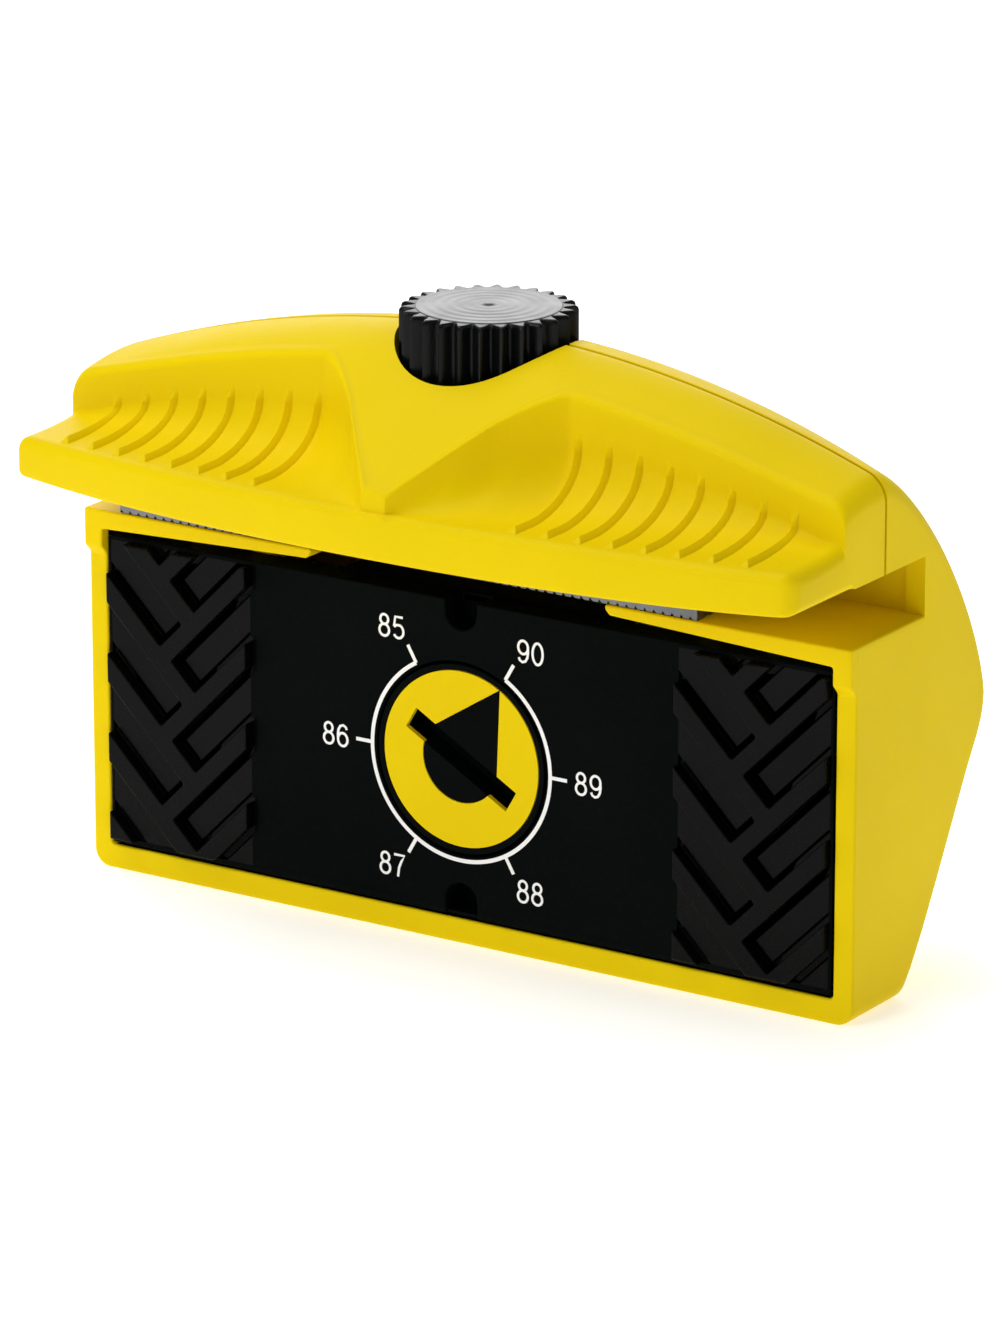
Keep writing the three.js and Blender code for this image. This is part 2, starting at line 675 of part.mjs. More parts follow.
// Grooves in the plate around the right-hand ends of the left pad's rising bars.
function barEndGrooves() {
  const edge = PAD_HALF - PAD_CENTRE;
  const padTop = PLATE_TOP - 0.7;
  return [0, 1, 2, 3].map((k) => {
    const low = RISING_BAR[0] - GROOVE - TREAD_PERIOD * k + PAD_HALF;
    const high = Math.min(RISING_BAR[1] - TREAD_PERIOD * k + PAD_HALF + 0.9, padTop - 0.3);
    const outline = [
      [edge - 0.3, low - 0.3],
      [edge + BAR_END_GAP, low + BAR_END_GAP],
      [edge + BAR_END_GAP, high],
      [edge - 0.3, high - 0.6],
    ];
    return prismY(outline, -1, PAD_FLOOR);
  });
}

const guidePlate = cutBy(joined([plateBlank, rearRim, ...notchWalls]), barEndGrooves());

function treadPad(side) {
  const centre = side * PAD_CENTRE;
  const bottom = PLATE_BOTTOM + 0.9;
  const top = PLATE_TOP - 0.7;
  const place = (outline, y0, y1) => prismY(outline.map(([x, z]) => [x + centre, z]), y0, y1);
  const area = (y0, y1) => box(centre - PAD_HALF, centre + PAD_HALF, y0, y1, bottom, top);
  const raised = [];
  const grooves = [];
  for (let k = -1; k < 5; k++) {
    const shift = -TREAD_PERIOD * k;
    const fallingEdge = FALLING_BAR[1];
    const [risingLow, risingHigh] = RISING_BAR;
    raised.push(place(fallingStrip(...FALLING_BAR, shift), -TREAD_HEIGHT, 0.6));
    raised.push(place(risingStrip(...RISING_BAR, shift), -TREAD_HEIGHT - 0.01, 0.6));
    grooves.push(place(fallingStrip(fallingEdge - 0.02, fallingEdge + GROOVE, shift), -1, PAD_FLOOR));
    grooves.push(place(risingStrip(risingHigh - 0.02, risingHigh + GROOVE, shift), -1, PAD_FLOOR + 0.01));
    grooves.push(place(risingStrip(risingLow - GROOVE, risingLow + 0.02, shift), -1, PAD_FLOOR + 0.01));
  }
  const base = cutBy(area(0, PAD_BACK - 0.05), grooves);
  return base.add(joined(raised).intersect(area(-TREAD_HEIGHT, 0.6)));
}

// ---- Angle dial: core with coin slot, bright cap, cam and the post it leans on ----

const CORE_RADIUS = 13;
const DISC_RADIUS = 12.1;
const DISC_THICK = 0.8;
const SLOT_HALF_LENGTH = 9;
const SLOT_HALF_WIDTH = 1.55;
const ARROW_HALF = 5.6;
const ARROW_TAIL_RADIUS = 6;
const POINTER_ANGLE = Math.PI / 3;
const PLATE_TRAVEL = (5 * Math.PI) / 180;
const DIAL_TRAVEL = (300 * Math.PI) / 180;

// Turns [along, across] points of the pointer's own frame into [x, z] points on the plate.
function onDial(points) {
  const cos = Math.cos(POINTER_ANGLE);
  const sin = Math.sin(POINTER_ANGLE);
  return points.map(([along, across]) => [along * cos - across * sin, DIAL_Z + along * sin + across * cos]);
}

function arrowSolid(shrink, y0, y1) {
  const triangle = [
    [0, -ARROW_HALF + shrink],
    [SLOT_HALF_WIDTH, -ARROW_HALF + shrink],
    [DISC_RADIUS + 0.2 - 2 * shrink, 0],
    [SLOT_HALF_WIDTH, ARROW_HALF - shrink],
    [0, ARROW_HALF - shrink],
  ];
  const tail = Array.from({ length: 17 }, (_, i) => {
    const turn = Math.PI / 2 + (Math.PI * i) / 16;
    const reach = ARROW_TAIL_RADIUS - shrink;
    return [reach * Math.cos(turn), reach * Math.sin(turn)];
  });
  return joined([prismY(onDial(triangle), y0, y1), prismY(onDial([...tail, [1, -3], [1, 3]]), y0, y1)]);
}

function coinSlot(grow, y0, y1) {
  const along = SLOT_HALF_WIDTH + grow;
  const across = SLOT_HALF_LENGTH + grow;
  return prismY(onDial([[-along, -across], [along, -across], [along, across], [-along, across]]), y0, y1);
}

const dialBody = joined([
  rodY(0, DIAL_Z, CORE_RADIUS, 0, LEDGE_Y - 0.2, 48),
  rodY(0, DIAL_Z, NECK_RADIUS, 1, PLATE_BACK + 0.9, 40),
]);
const discSeat = rodY(0, DIAL_Z, DISC_RADIUS + 0.12, -1, DISC_THICK + 0.05, 48);
const dialCore = cutBy(dialBody.subtract(discSeat).add(arrowSolid(0.08, 0, 1.5)), [
  coinSlot(0, -1, 3.4),
  rodY(0, DIAL_Z, 1.2, 3.9, 8, 16),
  rodY(0, DIAL_Z, 11.6, 1.75, LEDGE_Y, 40).subtract(rodY(0, DIAL_Z, 10.3, 1, 3, 40)),
]);
const dialDisc = cutBy(rodY(0, DIAL_Z, DISC_RADIUS, 0, DISC_THICK, 64), [
  arrowSolid(0, -1, 2),
  coinSlot(0.12, -1, 2),
]);
const frictionRing = rodY(0, DIAL_Z, 11.4, 1.85, LEDGE_Y - 0.03, 40).subtract(rodY(0, DIAL_Z, 10.5, 1, 3, 40));

const CAM_FRONT = PLATE_BACK + 0.95;
const CAM_BASE = CAM_FRONT + 1.5;
const CAM_RADIUS = 13;
const CAM_TRACK = [8, 12.8];
const CAM_START = 0.2;

// The cam's ramp: its height behind the disc grows with the dial's turn so the plate swings out on the post.
function camRamp() {
  const reach = HINGE_Z - POST_Z;
  const margin = Math.PI / 12;
  const steps = 30;
  const rings = Array.from({ length: steps + 1 }, (_, i) => {
    const turn = -margin + ((DIAL_TRAVEL + 2 * margin) * i) / steps;
    const share = Math.min(1, Math.max(0, turn / DIAL_TRAVEL));
    const height = CAM_START + reach * Math.sin(PLATE_TRAVEL * share);
    const angle = Math.PI - turn;
    const at = (radius, y) => [radius * Math.sin(angle), y, DIAL_Z + radius * Math.cos(angle)];
    const [inner, outer] = CAM_TRACK;
    const foot = CAM_BASE - 0.5;
    const crest = CAM_BASE + height;
    return [at(inner, foot), at(outer, foot), at(outer, crest), at(inner, crest)];
  });
  const count = 4;
  const faces = [];
  rings.slice(1).forEach((_, s) => {
    for (let i = 0; i < count; i++) {
      const a = s * count + i;
      const b = s * count + ((i + 1) % count);
      faces.push(a, b, a + count, b, b + count, a + count);
    }
  });
  const last = steps * count;
  faces.push(2, 1, 0, 3, 2, 0, last, last + 1, last + 2, last, last + 2, last + 3);
  const geometry = new THREE.BufferGeometry();
  geometry.setAttribute("position", new THREE.BufferAttribute(new Float32Array(rings.flat(2)), 3));
  geometry.setIndex(faces);
  return solid(geometry);
}

const angleCam = joined([rodY(0, DIAL_Z, CAM_RADIUS, CAM_FRONT, CAM_BASE, 48), camRamp()]).subtract(
  rodY(0, DIAL_Z, 1.7, 0, 20, 16),
);
const camScrew = joined([
  rodY(0, DIAL_Z, 3.2, CAM_BASE + 0.05, CAM_BASE + 1.6, 24),
  rodY(0, DIAL_Z, 1.15, 4.2, CAM_BASE + 0.5, 16),
]).subtract(prismY(circlePoints(0, DIAL_Z, 1.3, 6), CAM_BASE + 0.7, CAM_BASE + 3));
const camPost = joined([
  rodY(0, POST_Z, 1.5, POST_TIP_Y + 0.6, 17.8, 16),
  rodY(0, POST_Z, 0.8, POST_TIP_Y, POST_TIP_Y + 1, 16),
]);

function hingePin(side) {
  const half = EAR_HALF + GAP + LUG_WIDTH - 0.1;
  return rodX(HINGE_Y, HINGE_Z, HINGE_PIN_RADIUS, side * HINGE_X - half, side * HINGE_X + half);
}

function coverScrew(side) {
  const x = side * SCREW_X;
  const driver = prismY(circlePoints(x, SCREW_Z, 1.4, 6), SCREW_HEAD_Y + 1, SCREW_HEAD_Y + 4);
  return joined([
    rodY(x, SCREW_Z, 3, SCREW_HEAD_Y + 0.1, SCREW_HEAD_Y + 2.2, 24),
    rodY(x, SCREW_Z, 1.5, 1.3, SCREW_HEAD_Y + 0.5, 16),
  ]).subtract(driver);
}

// ---- Named meshes ----

const COLOURS = {
  yellow: 0xe8c800,
  black: 0x15171a,
  rubber: 0x1b1c1e,
  steel: 0x8d9194,
  blade: 0x77797b,
  polymer: 0x2c2f33,
};
const METALS = ["steel", "blade"];

const pieces = [
  ["housing", housing, "yellow"],
  ["grip_cover", gripCover, "yellow"],
  ["clamp_knob", clampKnob, "black"],
  ["knob_cap", knobCap, "black"],
  ["clamp_stud", clampStud, "steel"],
  ["clamp_nut", clampNut, "steel"],
  ["pressure_bar", pressureBar, "steel"],
  ["foot_clip", footClip, "steel"],
  ["file", file, "blade"],
  ["guide_plate", guidePlate, "black"],
  ["left_tread_pad", treadPad(-1), "rubber"],
  ["right_tread_pad", treadPad(1), "rubber"],
  ["dial_core", dialCore, "black"],
  ["dial_disc", dialDisc, "yellow"],
  ["friction_ring", frictionRing, "rubber"],
  ["angle_cam", angleCam, "polymer"],
  ["cam_screw", camScrew, "steel"],
  ["cam_post", camPost, "steel"],
  ["left_hinge_pin", hingePin(-1), "steel"],
  ["right_hinge_pin", hingePin(1), "steel"],
  ["left_cover_screw", coverScrew(-1), "steel"],
  ["right_cover_screw", coverScrew(1), "steel"],
];

function meshOf(name, made, colour) {
  const { numProp, vertProperties, triVerts } = made.getMesh();
  const count = vertProperties.length / numProp;
  const positions = new Float32Array(count * 3);
  for (let i = 0; i < count; i++) {
    positions.set(vertProperties.subarray(i * numProp, i * numProp + 3), i * 3);
  }
  const geometry = new THREE.BufferGeometry();
  geometry.setAttribute("position", new THREE.BufferAttribute(positions, 3));
  geometry.setIndex(new THREE.BufferAttribute(new Uint32Array(triVerts), 1));
  geometry.computeVertexNormals();
  const metalness = METALS.includes(colour) ? 1 : 0;
  const material = new THREE.MeshStandardMaterial({ color: COLOURS[colour], metalness, roughness: 0.5 });
  const mesh = new THREE.Mesh(geometry, material);
  mesh.name = name;
  mesh.position.y = CENTRE_SHIFT;
  return mesh;
}

const tool = new THREE.Group();
tool.name = "edge_tuning_tool";
pieces.forEach(([name, made, colour]) => tool.add(meshOf(name, made, colour)));

export default tool;
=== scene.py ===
import math

import bmesh
import bpy
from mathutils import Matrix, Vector


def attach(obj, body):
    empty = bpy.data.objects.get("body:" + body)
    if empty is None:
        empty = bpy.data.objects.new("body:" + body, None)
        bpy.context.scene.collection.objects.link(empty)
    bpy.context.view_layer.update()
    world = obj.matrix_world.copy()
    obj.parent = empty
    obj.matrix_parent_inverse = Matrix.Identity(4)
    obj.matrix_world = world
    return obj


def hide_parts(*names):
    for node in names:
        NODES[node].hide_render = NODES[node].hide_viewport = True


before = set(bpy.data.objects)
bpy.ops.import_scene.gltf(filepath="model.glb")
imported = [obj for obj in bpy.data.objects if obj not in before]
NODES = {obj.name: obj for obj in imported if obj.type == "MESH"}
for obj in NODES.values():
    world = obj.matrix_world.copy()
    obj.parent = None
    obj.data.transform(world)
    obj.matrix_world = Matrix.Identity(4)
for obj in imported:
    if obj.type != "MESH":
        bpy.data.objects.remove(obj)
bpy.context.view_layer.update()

# Sizes are in millimetres in the part's own measuring frame: the frame's front face is y = 0.
MM = 0.001
CENTRE_SHIFT = -6.35


def placed(x, y, z):
    return Vector((x * MM, (y + CENTRE_SHIFT) * MM, z * MM))


# ---- Camera, floor and light ----

AZIMUTH = math.radians(33.24)
ELEVATION = math.radians(17.32)
CAMERA_DISTANCE = 970.5
CAMERA_TARGET = (6.64, 0, 39.08)


def add_camera():
    data = bpy.data.cameras.new("camera")
    data.sensor_width = 36
    data.lens = 200
    data.clip_start = 0.01
    camera = bpy.data.objects.new("camera", data)
    bpy.context.scene.collection.objects.link(camera)
    back = Vector((
        math.sin(AZIMUTH) * math.cos(ELEVATION),
        -math.cos(AZIMUTH) * math.cos(ELEVATION),
        math.sin(ELEVATION),
    ))
    camera.location = placed(*CAMERA_TARGET) + back * CAMERA_DISTANCE * MM
    camera.rotation_euler = (-back).to_track_quat("-Z", "Y").to_euler()
    bpy.context.scene.camera = camera


def add_area(name, location, target, size, power, colour=(1, 1, 1)):
    data = bpy.data.lights.new(name, "AREA")
    data.shape = "RECTANGLE"
    data.size, data.size_y = size
    data.energy = power
    data.color = colour
    light = bpy.data.objects.new(name, data)
    light.location = location
    light.rotation_euler = (Vector(target) - Vector(location)).to_track_quat("-Z", "Y").to_euler()
    bpy.context.scene.collection.objects.link(light)


def add_studio():
    mesh = bpy.data.meshes.new("floor")
    half = 3
    corners = [(-half, -half, 0), (half, -half, 0), (half, half, 0), (-half, half, 0)]
    mesh.from_pydata(corners, [], [(0, 1, 2, 3)])
    floor = bpy.data.objects.new("floor", mesh)
    bpy.context.scene.collection.objects.link(floor)
    material = bpy.data.materials.new("floor_paper")
    material.use_nodes = True
    shader = material.node_tree.nodes["Principled BSDF"]
    shader.inputs["Base Color"].default_value = (0.97, 0.97, 0.97, 1)
    shader.inputs["Roughness"].default_value = 0.95
    shader.inputs["Specular IOR Level"].default_value = 0.1
    shader.inputs["Emission Color"].default_value = (1, 1, 1, 1)
    shader.inputs["Emission Strength"].default_value = 0.45
    floor.data.materials.append(material)
    world = bpy.data.worlds.new("studio")
    bpy.context.scene.world = world
    world.use_nodes = True
    background = world.node_tree.nodes["Background"]
    background.inputs["Color"].default_value = (1, 1, 1, 1)
    background.inputs["Strength"].default_value = 0.25
    middle = (0, 0, 0.04)
    add_area("top", (-0.25, -0.05, 0.95), middle, (0.8, 0.7), 6)
    add_area("front", (-0.25, -0.95, 0.5), middle, (0.4, 0.4), 3.2)
    add_area("side", (0.9, 0.1, 0.35), middle, (0.4, 0.4), 0.8)
    add_area("back", (-0.55, 0.85, 0.42), middle, (0.9, 0.5), 4.5)
    bpy.context.scene.view_settings.view_transform = "Standard"


add_camera()
add_studio()


# ---- Materials ----

def new_material(name):
    material = bpy.data.materials.new(name)
    material.use_nodes = True
    tree = material.node_tree
    return material, tree, tree.nodes["Principled BSDF"]


def link(tree, source, target):
    tree.links.new(source, target)


def noise(tree, scale, detail=2, rough=0.5):
    coords = tree.nodes.new("ShaderNodeTexCoord")
    texture = tree.nodes.new("ShaderNodeTexNoise")
    texture.inputs["Scale"].default_value = scale
    texture.inputs["Detail"].default_value = detail
    texture.inputs["Roughness"].default_value = rough
    link(tree, coords.outputs["Object"], texture.inputs["Vector"])
    return texture


def ramp(tree, source, stops):
    node = tree.nodes.new("ShaderNodeValToRGB")
    link(tree, source, node.inputs["Fac"])
    elements = node.color_ramp.elements
    while len(elements) < len(stops):
        elements.new(0.5)
    for element, (position, colour) in zip(elements, stops):
        element.position = position
        element.color = (*colour, 1)
    return node


def grained(name, low, high, roughness, grain_scale, grain_depth, shine=0.5, metallic=0.0):
    """A moulded or cast surface: slow colour drift, uneven gloss and a fine grain."""
    material, tree, shader = new_material(name)
    drift = noise(tree, 40, 3)
    colours = ramp(tree, drift.outputs["Fac"], [(0.3, low), (0.7, high)])
    link(tree, colours.outputs["Color"], shader.inputs["Base Color"])
    gloss = noise(tree, grain_scale / 6, 3)
    low_rough, high_rough = roughness
    spread = ramp(tree, gloss.outputs["Fac"], [(0.25, (low_rough,) * 3), (0.75, (high_rough,) * 3)])
    link(tree, spread.outputs["Color"], shader.inputs["Roughness"])
    grain = noise(tree, grain_scale, 2, 0.6)
    bump = tree.nodes.new("ShaderNodeBump")
    bump.inputs["Strength"].default_value = 0.35
    bump.inputs["Distance"].default_value = grain_depth
    link(tree, grain.outputs["Fac"], bump.inputs["Height"])
    link(tree, bump.outputs["Normal"], shader.inputs["Normal"])
    shader.inputs["Metallic"].default_value = metallic
    shader.inputs["Specular IOR Level"].default_value = shine
    return material


YELLOW = grained(
    "shell_plastic", (0.78, 0.57, 0.0), (0.83, 0.61, 0.0),
    (0.45, 0.55), 1700, 0.00009, shine=0.06,
)
BLACK = grained(
    "plate_plastic", (0.0008, 0.0018, 0.0018), (0.002, 0.003, 0.003),
    (0.4, 0.5), 2600, 0.00008, shine=0.02,
)
RUBBER = grained(
    "tread_rubber", (0.001, 0.001, 0.0012), (0.0022, 0.0022, 0.0025),
    (0.24, 0.32), 2200, 0.00006, shine=0.07,
)
KNOB = grained(
    "knob_plastic", (0.0012, 0.0016, 0.0018), (0.0025, 0.003, 0.003),
    (0.26, 0.36), 2200, 0.00008, shine=0.16,
)
KNOB_FACE = grained(
    "knob_face_plastic", (0.012, 0.013, 0.014), (0.02, 0.021, 0.022),
    (0.3, 0.38), 1600, 0.00001, shine=0.42,
)
PRINT = grained(
    "scale_print", (0.86, 0.86, 0.86), (0.92, 0.92, 0.92),
    (0.5, 0.6), 2600, 0.00001,
)
ZINC = grained(
    "zinc_steel", (0.5, 0.5, 0.5), (0.6, 0.6, 0.61),
    (0.25, 0.4), 1500, 0.00003, metallic=1,
)
BLADE = grained(
    "file_steel", (0.13, 0.133, 0.138), (0.2, 0.204, 0.21),
    (0.35, 0.5), 3000, 0.00004, metallic=1,
)
POLYMER = grained(
    "cam_polymer", (0.03, 0.032, 0.035), (0.04, 0.043, 0.047),
    (0.4, 0.5), 1500, 0.00003,
)

NODE_MATERIALS = {
    YELLOW: ["housing", "grip_cover", "dial_disc"],
    BLACK: ["guide_plate", "dial_core"],
    RUBBER: ["left_tread_pad", "right_tread_pad", "friction_ring"],
    KNOB: ["clamp_knob", "knob_cap"],
    ZINC: [
        "clamp_stud", "clamp_nut", "pressure_bar", "foot_clip", "cam_screw", "cam_post",
        "left_hinge_pin", "right_hinge_pin", "left_cover_screw", "right_cover_screw",
    ],
    BLADE: ["file"],
    POLYMER: ["angle_cam"],
}


def paint(obj, material):
    obj.data.materials.clear()
    obj.data.materials.append(material)


for material, names in NODE_MATERIALS.items():
    for name in names:
        paint(NODES[name], material)


# ---- Mesh helpers: sizes in millimetres of the measuring frame ----

OVER = 0.02


def new_object(name, points, faces):
    mesh = bpy.data.meshes.new(name)
    mesh.from_pydata([placed(*point) for point in points], [], faces)
    made = bmesh.new()
    made.from_mesh(mesh)
    bmesh.ops.remove_doubles(made, verts=made.verts, dist=0.002 * MM)
    bmesh.ops.recalc_face_normals(made, faces=made.faces)
    made.to_mesh(mesh)
    made.free()
    obj = bpy.data.objects.new(name, mesh)
    bpy.context.scene.collection.objects.link(obj)
    return obj


def prism(outline, axis, low, high, name="part"):
    """An outline pulled out along an axis: X takes (y, z) points, Y takes (x, z) and Z takes (x, y)."""
    order = {
        "X": lambda a, b, c: (c, a, b),
        "Y": lambda a, b, c: (a, c, b),
        "Z": lambda a, b, c: (a, b, c),
    }[axis]
    count = len(outline)
    points = [order(a, b, low) for a, b in outline] + [order(a, b, high) for a, b in outline]
    faces = [list(range(count)), list(range(2 * count - 1, count - 1, -1))]
    faces += [[i, (i + 1) % count, (i + 1) % count + count, i + count] for i in range(count)]
    return new_object(name, points, faces)


def box(x0, x1, y0, y1, z0, z1):
    return prism([(x0, y0), (x1, y0), (x1, y1), (x0, y1)], "Z", z0, z1)


def circle(a, b, radius, sides=96, start=0.0):
    turns = [start + 2 * math.pi * i / sides for i in range(sides)]
    return [(a + radius * math.cos(turn), b + radius * math.sin(turn)) for turn in turns]


def rod(axis, a, b, radius, low, high, sides=96):
    return prism(circle(a, b, radius, sides), axis, low, high)


def rings_object(name, rings):
    """A closed skin over equal rings of points, with the first and last ring filled in."""
    count = len(rings[0])
    points = [point for ring in rings for point in ring]
    faces = []
    for s in range(len(rings) - 1):
        for i in range(count):
            j = (i + 1) % count
            faces.append([s * count + i, s * count + j, (s + 1) * count + j, (s + 1) * count + i])
    last = (len(rings) - 1) * count
    faces.append(list(range(count)))
    faces.append(list(range(last + count - 1, last - 1, -1)))
    return new_object(name, points, faces)


def loft_x(name, stations, outline_at):
    return rings_object(name, [[(x, y, z) for y, z in outline_at(x)] for x in stations])


def turned(name, x, y, profile, sides=96):
    """A closed profile of (radius, z) points turned about the upright axis through x, y."""
    rings = []
    for radius, z in profile:
        ring = [(a, b, z) for a, b in circle(x, y, max(radius, 0.01), sides)]
        rings.append(ring)
    return rings_object(name, rings)


def combine(base, others, operation):
    """Joins, cuts or keeps what is common, and takes the other objects away afterwards."""
    group = bpy.data.collections.new("tools")
    for other in others:
        group.objects.link(other)
    if operation == "INTERSECT":
        modifiers = []
        for other in others:
            modifier = base.modifiers.new("keep", "BOOLEAN")
            modifier.operation = operation
            modifier.object = other
            modifiers.append(modifier)
    else:
        modifier = base.modifiers.new("combine", "BOOLEAN")
        modifier.operation = operation
        modifier.operand_type = "COLLECTION"
        modifier.collection = group
    apply_modifiers(base)
    for other in others:
        bpy.data.objects.remove(other)
    bpy.data.collections.remove(group)
    return base


def apply_modifiers(obj):
    graph = bpy.context.evaluated_depsgraph_get()
    made = bpy.data.meshes.new_from_object(obj.evaluated_get(graph))
    obj.modifiers.clear()
    old = obj.data
    obj.data = made
    bpy.data.meshes.remove(old)


def joined(objects):
    return combine(objects[0], objects[1:], "UNION") if len(objects) > 1 else objects[0]


def cut(base, tools):
    return combine(base, tools, "DIFFERENCE")


def dissolve(obj, degrees=0.5):
    made = bmesh.new()
    made.from_mesh(obj.data)
    bmesh.ops.remove_doubles(made, verts=made.verts, dist=0.002 * MM)
    bmesh.ops.dissolve_limit(
        made, angle_limit=math.radians(degrees), verts=made.verts, edges=made.edges, delimit=set()
    )
    made.to_mesh(obj.data)
    made.free()


def bevel(obj, width, segments=3, degrees=32, skip=None):
    """Rounds every edge sharper than the given angle, but those that skip says to leave."""
    dissolve(obj)
    made = bmesh.new()
    made.from_mesh(obj.data)
    made.normal_update()
    limit = math.radians(degrees)
    edges = [
        edge for edge in made.edges
        if len(edge.link_faces) == 2 and edge.calc_face_angle(0) > limit and not (skip and skip(edge))
    ]
    bmesh.ops.bevel(
        made, geom=edges, offset=width * MM, offset_type="OFFSET", segments=segments,
        profile=0.5, affect="EDGES", clamp_overlap=False, miter_outer="ARC",
    )
    bmesh.ops.remove_doubles(made, verts=made.verts, dist=0.001 * MM)
    made.to_mesh(obj.data)
    made.free()
    return obj


def smooth(obj, degrees=38, weighted=True):
    obj.data.shade_smooth()
    obj.data.set_sharp_from_angle(angle=math.radians(degrees))
    if weighted:
        modifier = obj.modifiers.new("normals", "WEIGHTED_NORMAL")
        modifier.keep_sharp = True
        modifier.weight = 80
        apply_modifiers(obj)
    return obj


def piece(obj, name, node, body, material, weighted=True, degrees=38):
    """Names a finished piece, smooths it, gives it its material, hangs it under its body and hides the CAD
    node it stands for.
    """
    obj.name = name
    obj.data.name = name
    smooth(obj, degrees, weighted)
    paint(obj, material)
    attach(obj, body)
    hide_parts(node)
    return obj


# ---- The tool's own shapes ----

HALF_LENGTH = 60
RIDGE_Z = 82.8
SEAM_Y = 6.8
SEAM_GAP = 0.24
LIP_TOP = 64.3
LIP_FRONT = -21
SLOT_TOP = 59
SHELF_TOP = 51
FLOOR_TOP = 3.4
FRAME_BAR = 2.85
FRAME_PROUD = 1.2
BELLY_Y = 33.7
BELLY_Z = 36
INNER_HALF = HALF_LENGTH - FRAME_BAR
KNOB_POCKET_RADIUS = 12.3
KNOB_POCKET_FLOOR = 76
DIAL_Z = 25.63


def round_in(x, half, radius):
    past = abs(x) - (half - radius)
    if past <= 0:
        return 0.0
    return radius - math.sqrt(max(0.0, radius * radius - past * past))


def ridge_z(x):
    return RIDGE_Z - 0.0032 * x * x - round_in(x, HALF_LENGTH, 2.5)


def spread(low, high, steps):
    return [low + (high - low) * i / steps for i in range(steps + 1)]


def arc(a, b, radius, start, end, steps):
    """Points on an arc about (a, b), with its angles in degrees."""
    turns = [math.radians(angle) for angle in spread(start, end, steps)]
    return [(a + radius * math.cos(turn), b + radius * math.sin(turn)) for turn in turns]


END_INSETS = (0, 0.02, 0.07, 0.15, 0.27, 0.42, 0.6, 0.82, 1.08, 1.4, 1.8, 2.3, 2.8, 3.4)


def stations(step, extra=()):
    """Places along the length: even ones in the middle, close ones at the rounded ends."""
    inner = HALF_LENGTH - 4
    middle = spread(-inner, inner, round(2 * inner / step))
    ends = [HALF_LENGTH - inset for inset in END_INSETS]
    found = sorted(middle + ends + [-x for x in ends] + list(extra))
    kept = [found[0]]
    for x in found[1:]:
        if x - kept[-1] > 0.015:
            kept.append(x)
    kept[-1] = HALF_LENGTH
    return kept


# ---- Grip cover ----

SEAM_FRONT = SEAM_Y - SEAM_GAP
KEEL_APEX_X = 1.8
KEEL_SHOULDER_X = 11.2
KEEL_BLEND = 3
SCOOP_SHOULDER_X = 19
SHOULDER_Y = -3.2
LIP_EDGE = 1.4
LIP_CORNERS = (0.8, 2.2)
RIB_COUNT = 8
RIB_START = 20.2
RIB_PITCH = 4.62
RIB_HEIGHT = 0.8
RIB_HALF_WIDTH = 0.62


def lip_front_y(x):
    corner = LIP_CORNERS[0] if x < 0 else LIP_CORNERS[1]
    return LIP_FRONT + 4.8 * (x / 58) ** 2 + round_in(x, HALF_LENGTH, corner)


def lip_bottom_z(x):
    return 58 + 0.9 * (x / HALF_LENGTH) ** 4 + round_in(x, HALF_LENGTH, 1.2)


def lip_top_z(x):
    return LIP_TOP - round_in(x, HALF_LENGTH, 1.8)


def wall_top_y(x):
    """Where the scoop's wall ends in plan: along the keel's crease, then along the shoulder."""
    out = abs(x)
    crease_end = -9.2
    if out < KEEL_APEX_X:
        return LIP_FRONT + 0.9
    if out < KEEL_SHOULDER_X:
        share = (out - KEEL_APEX_X) / (KEEL_SHOULDER_X - KEEL_APEX_X)
        return LIP_FRONT + 0.9 + share * (crease_end - LIP_FRONT - 0.9)
    if out < SCOOP_SHOULDER_X:
        share = (out - KEEL_SHOULDER_X) / (SCOOP_SHOULDER_X - KEEL_SHOULDER_X)
        return crease_end + (1 - (1 - share) ** 1.25) * (SHOULDER_Y - crease_end)
    return SHOULDER_Y


def crown_z(x, y, inset=0.0):
    """The crown curves down from the seam to the shoulder, and runs on straight in front of it."""
    drop = 3 - 2 * (abs(x) / HALF_LENGTH) ** 6
    share = (SEAM_Y - y) / (SEAM_Y - SHOULDER_Y - 0.2)
    fall = share * share if share < 1 else 2 * share - 1
    return ridge_z(x) - inset - drop * fall


def keel_z(y):
    return 65.6 + 0.86 * (y + 20.9)


def cover_top_z(x, y):
    """The keel's slope runs into the crown with a soft blend."""
    keel, crown = keel_z(y), crown_z(x, y)
    near = max(0.0, 1 - abs(keel - crown) / KEEL_BLEND)
    return min(keel, crown) - near * near * KEEL_BLEND / 4


def scoop_width(x):
    return min(12 - (x / HALF_LENGTH) ** 2, wall_top_y(x) - lip_front_y(x) - 1.6)


def scoop_height(x):
    past = max(0.0, abs(x) - 16) / 36
    return max(1.2, 7.7 - 5 * past * past)


def rib_rise(x, y, z):
    """How far the nearest rib stands out of the scoop at this point of its surface."""
    if abs(x) < RIB_START - 2:
        return 0.0
    index = max(0, min(RIB_COUNT - 1, round((abs(x) - RIB_START) / RIB_PITCH)))
    centre = RIB_START + RIB_PITCH * index
    aside = abs(abs(x) - centre) / RIB_HALF_WIDTH
    if aside >= 1:
        return 0.0
    foot = (y - lip_front_y(centre) - 1.7) / 0.8
    top = (72.8 - 5 * (index / (RIB_COUNT - 1)) ** 1.5 - z) / 0.7
    along = max(0.0, min(1.0, foot, top))
    return RIB_HEIGHT * min((1 - aside) ** 0.8, along)


FLOOR_SHARES = [0.0, 0.06, 0.12] + spread(0.17, 0.44, 16) + [0.52, 0.62, 0.72, 0.82, 0.92]


